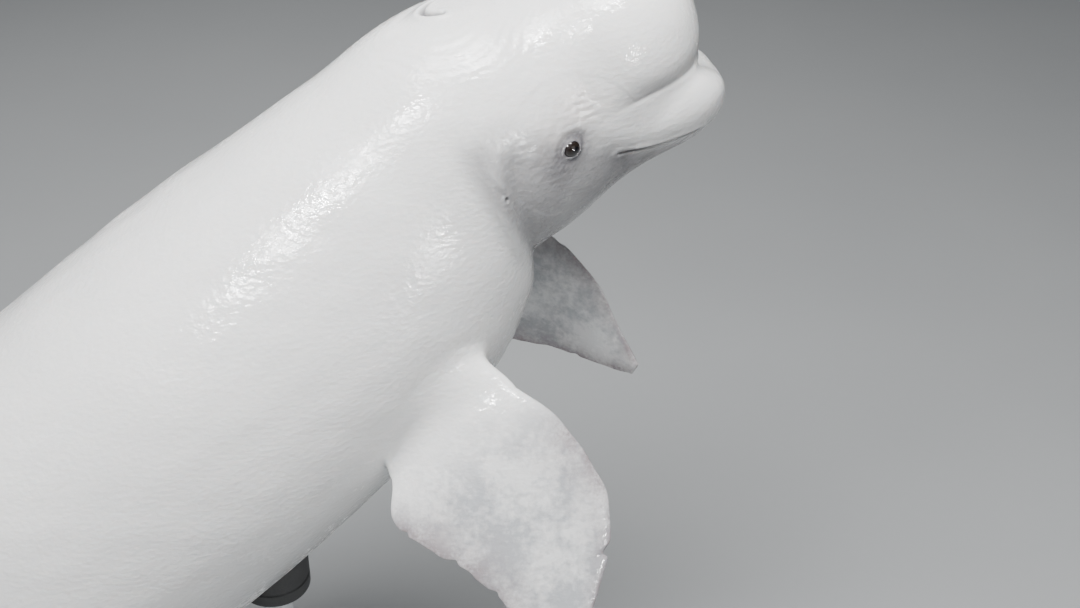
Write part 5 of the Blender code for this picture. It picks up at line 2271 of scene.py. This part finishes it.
@dataclass(frozen=True)
class EyeFinish(Finish):
    """Dark eye: black pupil, deep brown iris and a brown-grey ball, under a wet film."""

    name: str = "dark_eye"
    pupil: Colour = (0.003, 0.003, 0.004, 1)
    iris: Colour = (0.007, 0.005, 0.004, 1)
    iris_fleck: Colour = (0.017, 0.012, 0.009, 1)
    ball: Colour = (0.024, 0.019, 0.019, 1)
    ball_cloud: Colour = (0.013, 0.010, 0.010, 1)
    pupil_size: float = 0.0058
    iris_size: float = 0.0118
    iris_height: float = 0.78
    soft: float = 0.0006
    spokes: float = 9.0

    def looks(self, wire: Wiring, place: Socket) -> dict:
        """Pupil, iris and ball from the eye's own axis outwards."""
        parts = wire.add("SeparateXYZ", {0: place}).outputs
        across = {0: wire.product(parts[0], self.iris_height), 1: parts[1]}
        flat = wire.add("CombineXYZ", across).outputs[0]
        away = wire.add("VectorMath", {0: flat}, operation="LENGTH").outputs["Value"]
        turn = wire.math("ARCTAN2", parts[1], parts[0])
        fan = wire.add("CombineXYZ", {0: wire.product(turn, self.spokes), 1: away}).outputs[0]
        spokes = wire.noise(fan, 2.4, 2.0, 0.5)
        iris = wire.mix(wire.scale(spokes, 0.35, 0.7), self.iris, self.iris_fleck)
        clouds = self._mottle(wire, place, 120.0, 900.0, 0.5)
        ball = wire.mix(clouds, self.ball, self.ball_cloud)
        past_pupil, past_iris = (
            wire.scale(away, size - self.soft, size + self.soft)
            for size in (self.pupil_size, self.iris_size)
        )
        return {
            "Base Color": wire.mix(past_iris, wire.mix(past_pupil, self.pupil, iris), ball),
            "Roughness": wire.share(clouds, 0.10, 0.18),
            "Coat Weight": 0.6,
            "Coat Roughness": 0.02,
            "IOR": 1.34,
        }


@dataclass(frozen=True)
class PaintFinish(Finish):
    """Satin paint with a faint orange-peel surface and light scuffs."""

    name: str = "stand_paint"
    colour: Colour = (0.155, 0.165, 0.175, 1)
    scuff: Colour = (0.235, 0.245, 0.255, 1)

    def looks(self, wire: Wiring, place: Socket) -> dict:
        """Scuffed paint over fine grain."""
        clouds = self._mottle(wire, place, 5.0, 90.0, 0.4)
        return {
            "Base Color": wire.mix(wire.product(clouds, 0.5), self.colour, self.scuff),
            "Roughness": wire.share(clouds, 0.34, 0.50),
            "Normal": wire.bump(self._grain(wire, place, 420.0, 0.3), 0.12, 0.0006),
        }


@dataclass(frozen=True)
class SteelFinish(Finish):
    """Brushed steel with its grain running round the turned pieces."""

    name: str = "stand_steel"
    bright: Colour = (0.62, 0.63, 0.64, 1)
    dull: Colour = (0.46, 0.47, 0.48, 1)

    def looks(self, wire: Wiring, place: Socket) -> dict:
        """Metal with brushed grain."""
        clouds = self._mottle(wire, place, 14.0, 120.0, 0.4)
        brushed = self._grain(wire, place, 1500.0, 0.0, (0.06, 0.06, 1.0))
        return {
            "Base Color": wire.mix(clouds, self.bright, self.dull),
            "Roughness": wire.scale(brushed, 0.3, 0.7, 0.24, 0.42),
            "Normal": wire.bump(brushed, 0.10, 0.0004),
            "Metallic": 1.0,
            "Anisotropic": 0.5,
        }


@dataclass(frozen=True)
class RubberFinish(Finish):
    """Matt black rubber with a fine grain and pale dust."""

    name: str = "stand_pad"
    colour: Colour = (0.024, 0.024, 0.026, 1)
    dust: Colour = (0.075, 0.074, 0.072, 1)

    def looks(self, wire: Wiring, place: Socket) -> dict:
        """Dusty rubber over fine grain."""
        clouds = self._mottle(wire, place, 22.0, 260.0, 0.5)
        return {
            "Base Color": wire.mix(wire.product(clouds, 0.6), self.colour, self.dust),
            "Roughness": wire.share(clouds, 0.55, 0.75),
            "Normal": wire.bump(self._grain(wire, place, 1100.0, 0.6), 0.25, 0.0005),
        }


@dataclass(frozen=True)
class FloorFinish(Finish):
    """Plain pale floor with the faintest cloudiness."""

    name: str = "studio_floor"
    colour: Colour = (0.40, 0.41, 0.415, 1)
    shade: Colour = (0.375, 0.385, 0.392, 1)

    def looks(self, wire: Wiring, place: Socket) -> dict:
        """Two close pale greys."""
        clouds = self._mottle(wire, place, 0.7, 30.0, 0.2)
        return {"Base Color": wire.mix(clouds, self.colour, self.shade), "Roughness": 0.62}


# Studio


@dataclass(frozen=True)
class Lamp:
    """A rectangular light, seen only in the wet shine where it is glossy."""

    name: str
    place: Triple
    aim: Triple
    size: tuple[float, float]
    power: float
    glossy: bool = False

    def hang(self) -> None:
        """Hangs the light at its place, turned to its aim."""
        light = bpy.data.lights.new(self.name, "AREA")
        light.shape = "RECTANGLE"
        light.size, light.size_y = self.size
        light.energy = self.power
        obj = new_object(self.name, light)
        way = Vector(self.aim) - Vector(self.place)
        obj.location = self.place
        obj.rotation_euler = way.to_track_quat("-Z", "Y").to_euler()
        obj.visible_diffuse = not self.glossy


@dataclass
class Studio:
    """Pale floor, soft lights and the camera."""

    beak: Array
    look_down: float = math.radians(34.0)
    look_aside: float = math.radians(12.87)
    beak_depth: float = 3.0845
    beak_right: float = 0.3437
    beak_up: float = 0.4196
    lens: float = 53.33
    floor_size: float = 40.0
    floor_drop: float = 0.0005
    sky: Colour = (0.80, 0.86, 0.92, 1)
    sky_strength: float = 0.10
    lamps: tuple[Lamp, ...] = (
        Lamp("key", (0.7, -1.6, 5.6), (1.0, 0.0, 1.6), (3.2, 1.8), 600.0),
        Lamp("fill", (3.2, -4.3, 2.7), (0.8, 0.0, 1.4), (3.0, 3.0), 34.0),
        Lamp("back", (0.6, 4.8, 4.2), (0.6, 0.0, 1.4), (3.0, 2.0), 60.0),
        Lamp("glint_side", (-0.35, -2.55, 3.75), (1.15, -0.14, 2.0), (0.60, 0.04), 220.0, True),
        Lamp("glint_nape", (1.30, -1.90, 5.05), (1.3, -0.12, 2.1), (1.20, 0.04), 220.0, True),
        Lamp("glint_low", (2.50, -2.90, 1.50), (1.25, -0.2, 1.9), (0.24, 0.04), 50.0, True),
    )

    def build_floor(self, finish: FloorFinish) -> None:
        """Lays the floor under the stand.

        Args:
            finish: Its finish.
        """
        mesh = bpy.data.meshes.new("floor")
        half = self.floor_size / 2
        corners = [(-half, -half, 0), (half, -half, 0), (half, half, 0), (-half, half, 0)]
        mesh.from_pydata(corners, [], [(0, 1, 2, 3)])
        mesh.materials.append(finish.material())
        floor = new_object("floor", mesh)
        floor.location.z = -self.floor_drop

    def hang_lights(self) -> None:
        """Hangs the soft lights and sets the pale surroundings."""
        for lamp in self.lamps:
            lamp.hang()
        world = bpy.data.worlds.new("surroundings")
        world.use_nodes = True
        backdrop = world.node_tree.nodes["Background"]
        backdrop.inputs["Color"].default_value = self.sky
        backdrop.inputs["Strength"].default_value = self.sky_strength
        bpy.context.scene.world = world

    def aim_camera(self) -> None:
        """Sets up the camera at the photograph's viewing angle."""
        down, aside = self.look_down, self.look_aside
        level = Vector((math.sin(aside), math.cos(aside), 0))
        forward = level * math.cos(down) + Vector((0, 0, -math.sin(down)))
        right = forward.cross(Vector((0, 0, 1))).normalized()
        up = right.cross(forward)
        place = Vector(self.beak) - forward * self.beak_depth - right * self.beak_right - up * self.beak_up
        lens = bpy.data.cameras.new("camera")
        lens.lens = self.lens
        lens.sensor_width = 36.0
        camera = new_object("camera", lens)
        turn = Matrix((right, up, -forward)).transposed().to_4x4()
        camera.matrix_world = Matrix.Translation(place) @ turn
        bpy.context.scene.camera = camera


def main() -> None:
    """Builds the whale, its stand and the studio in order."""
    logging.basicConfig(level=logging.INFO, format="%(name)s: %(message)s")
    flesh, spine = Flesh(), Spine()
    eyes = {side: flesh.side_place(*EYE_PLACE, side, tilt=EYE_TILT) for side in Side}
    ears = {side: flesh.side_place(*EAR_PLACE, side) for side in Side}
    reliefs: list[Relief] = [MouthLine(), MelonFold(), HeadShade(), Blowhole(), NeckCrease()]
    reliefs += [BackRidge(), LooseSkin()]
    reliefs += [Lids(eyes[side]) for side in Side]
    reliefs += [EarHole(ears[side]) for side in Side]
    flippers = [
        Flipper(
            Side.RIGHT,
            span=(-0.16, -0.62, -0.77),
            chord_way=(0.94, 0.04, -0.34),
            curl=0.03,
            front_nicks=((0.800, 0.015, 0.013), (0.930, 0.004, 0.015)),
            back_nicks=((0.405, 0.006, 0.014), (0.590, 0.008, 0.013), (0.750, 0.007, 0.014)),
        ),
        Flipper(
            Side.LEFT,
            span=(0.50, -0.19, -0.84),
            chord_way=(0.73, -0.20, 0.65),
            bow=0.09,
            curl=0.09,
            front_nicks=((0.620, 0.004, 0.015),),
            back_nicks=((0.520, 0.006, 0.014), (0.840, 0.007, 0.013)),
        ),
    ]
    whale = WhaleSkin(flesh, spine, flippers, [Fluke(side) for side in Side], reliefs)
    skin = whale.build()
    whale.dress(skin, SkinFinish())
    log.info("skin: %d points, %d faces", len(skin.data.vertices), len(skin.data.polygons))

    eye_finish = EyeFinish()
    for side in Side:
        eyeball = Eyeball(side, eyes[side], spine)
        ball = eyeball.build()
        eyeball.dress(ball, eye_finish)
        low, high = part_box("eye_" + side.word)
        off = (ball.matrix_world.translation - (low + high) / 2).length
        log.info("eye %s: %.1f mm from its solid's middle", side.word, off * 1000)

    base = StandBase()
    base.dress(base.build(), PaintFinish())
    log.info("stand base built")
    skin_tree = BVHTree.FromObject(skin, bpy.context.evaluated_depsgraph_get())
    steel, rubber = SteelFinish().material(), RubberFinish().material()
    for word in ("front", "rear"):
        post = StandPost(word)
        pieces = {"collar": post.build_collar(), "rod": post.build_rod()}
        pieces["cradle"] = post.build_cradle(skin_tree)
        post.dress(pieces, steel, rubber)
        log.info("stand post %s built", word)

    studio = Studio(spine.pose(np.array([0.0, 0.0, -BEAK_DROP])))
    studio.build_floor(FloorFinish())
    studio.hang_lights()
    studio.aim_camera()
    log.info("studio set up")


if __name__ == "__main__":
    main()
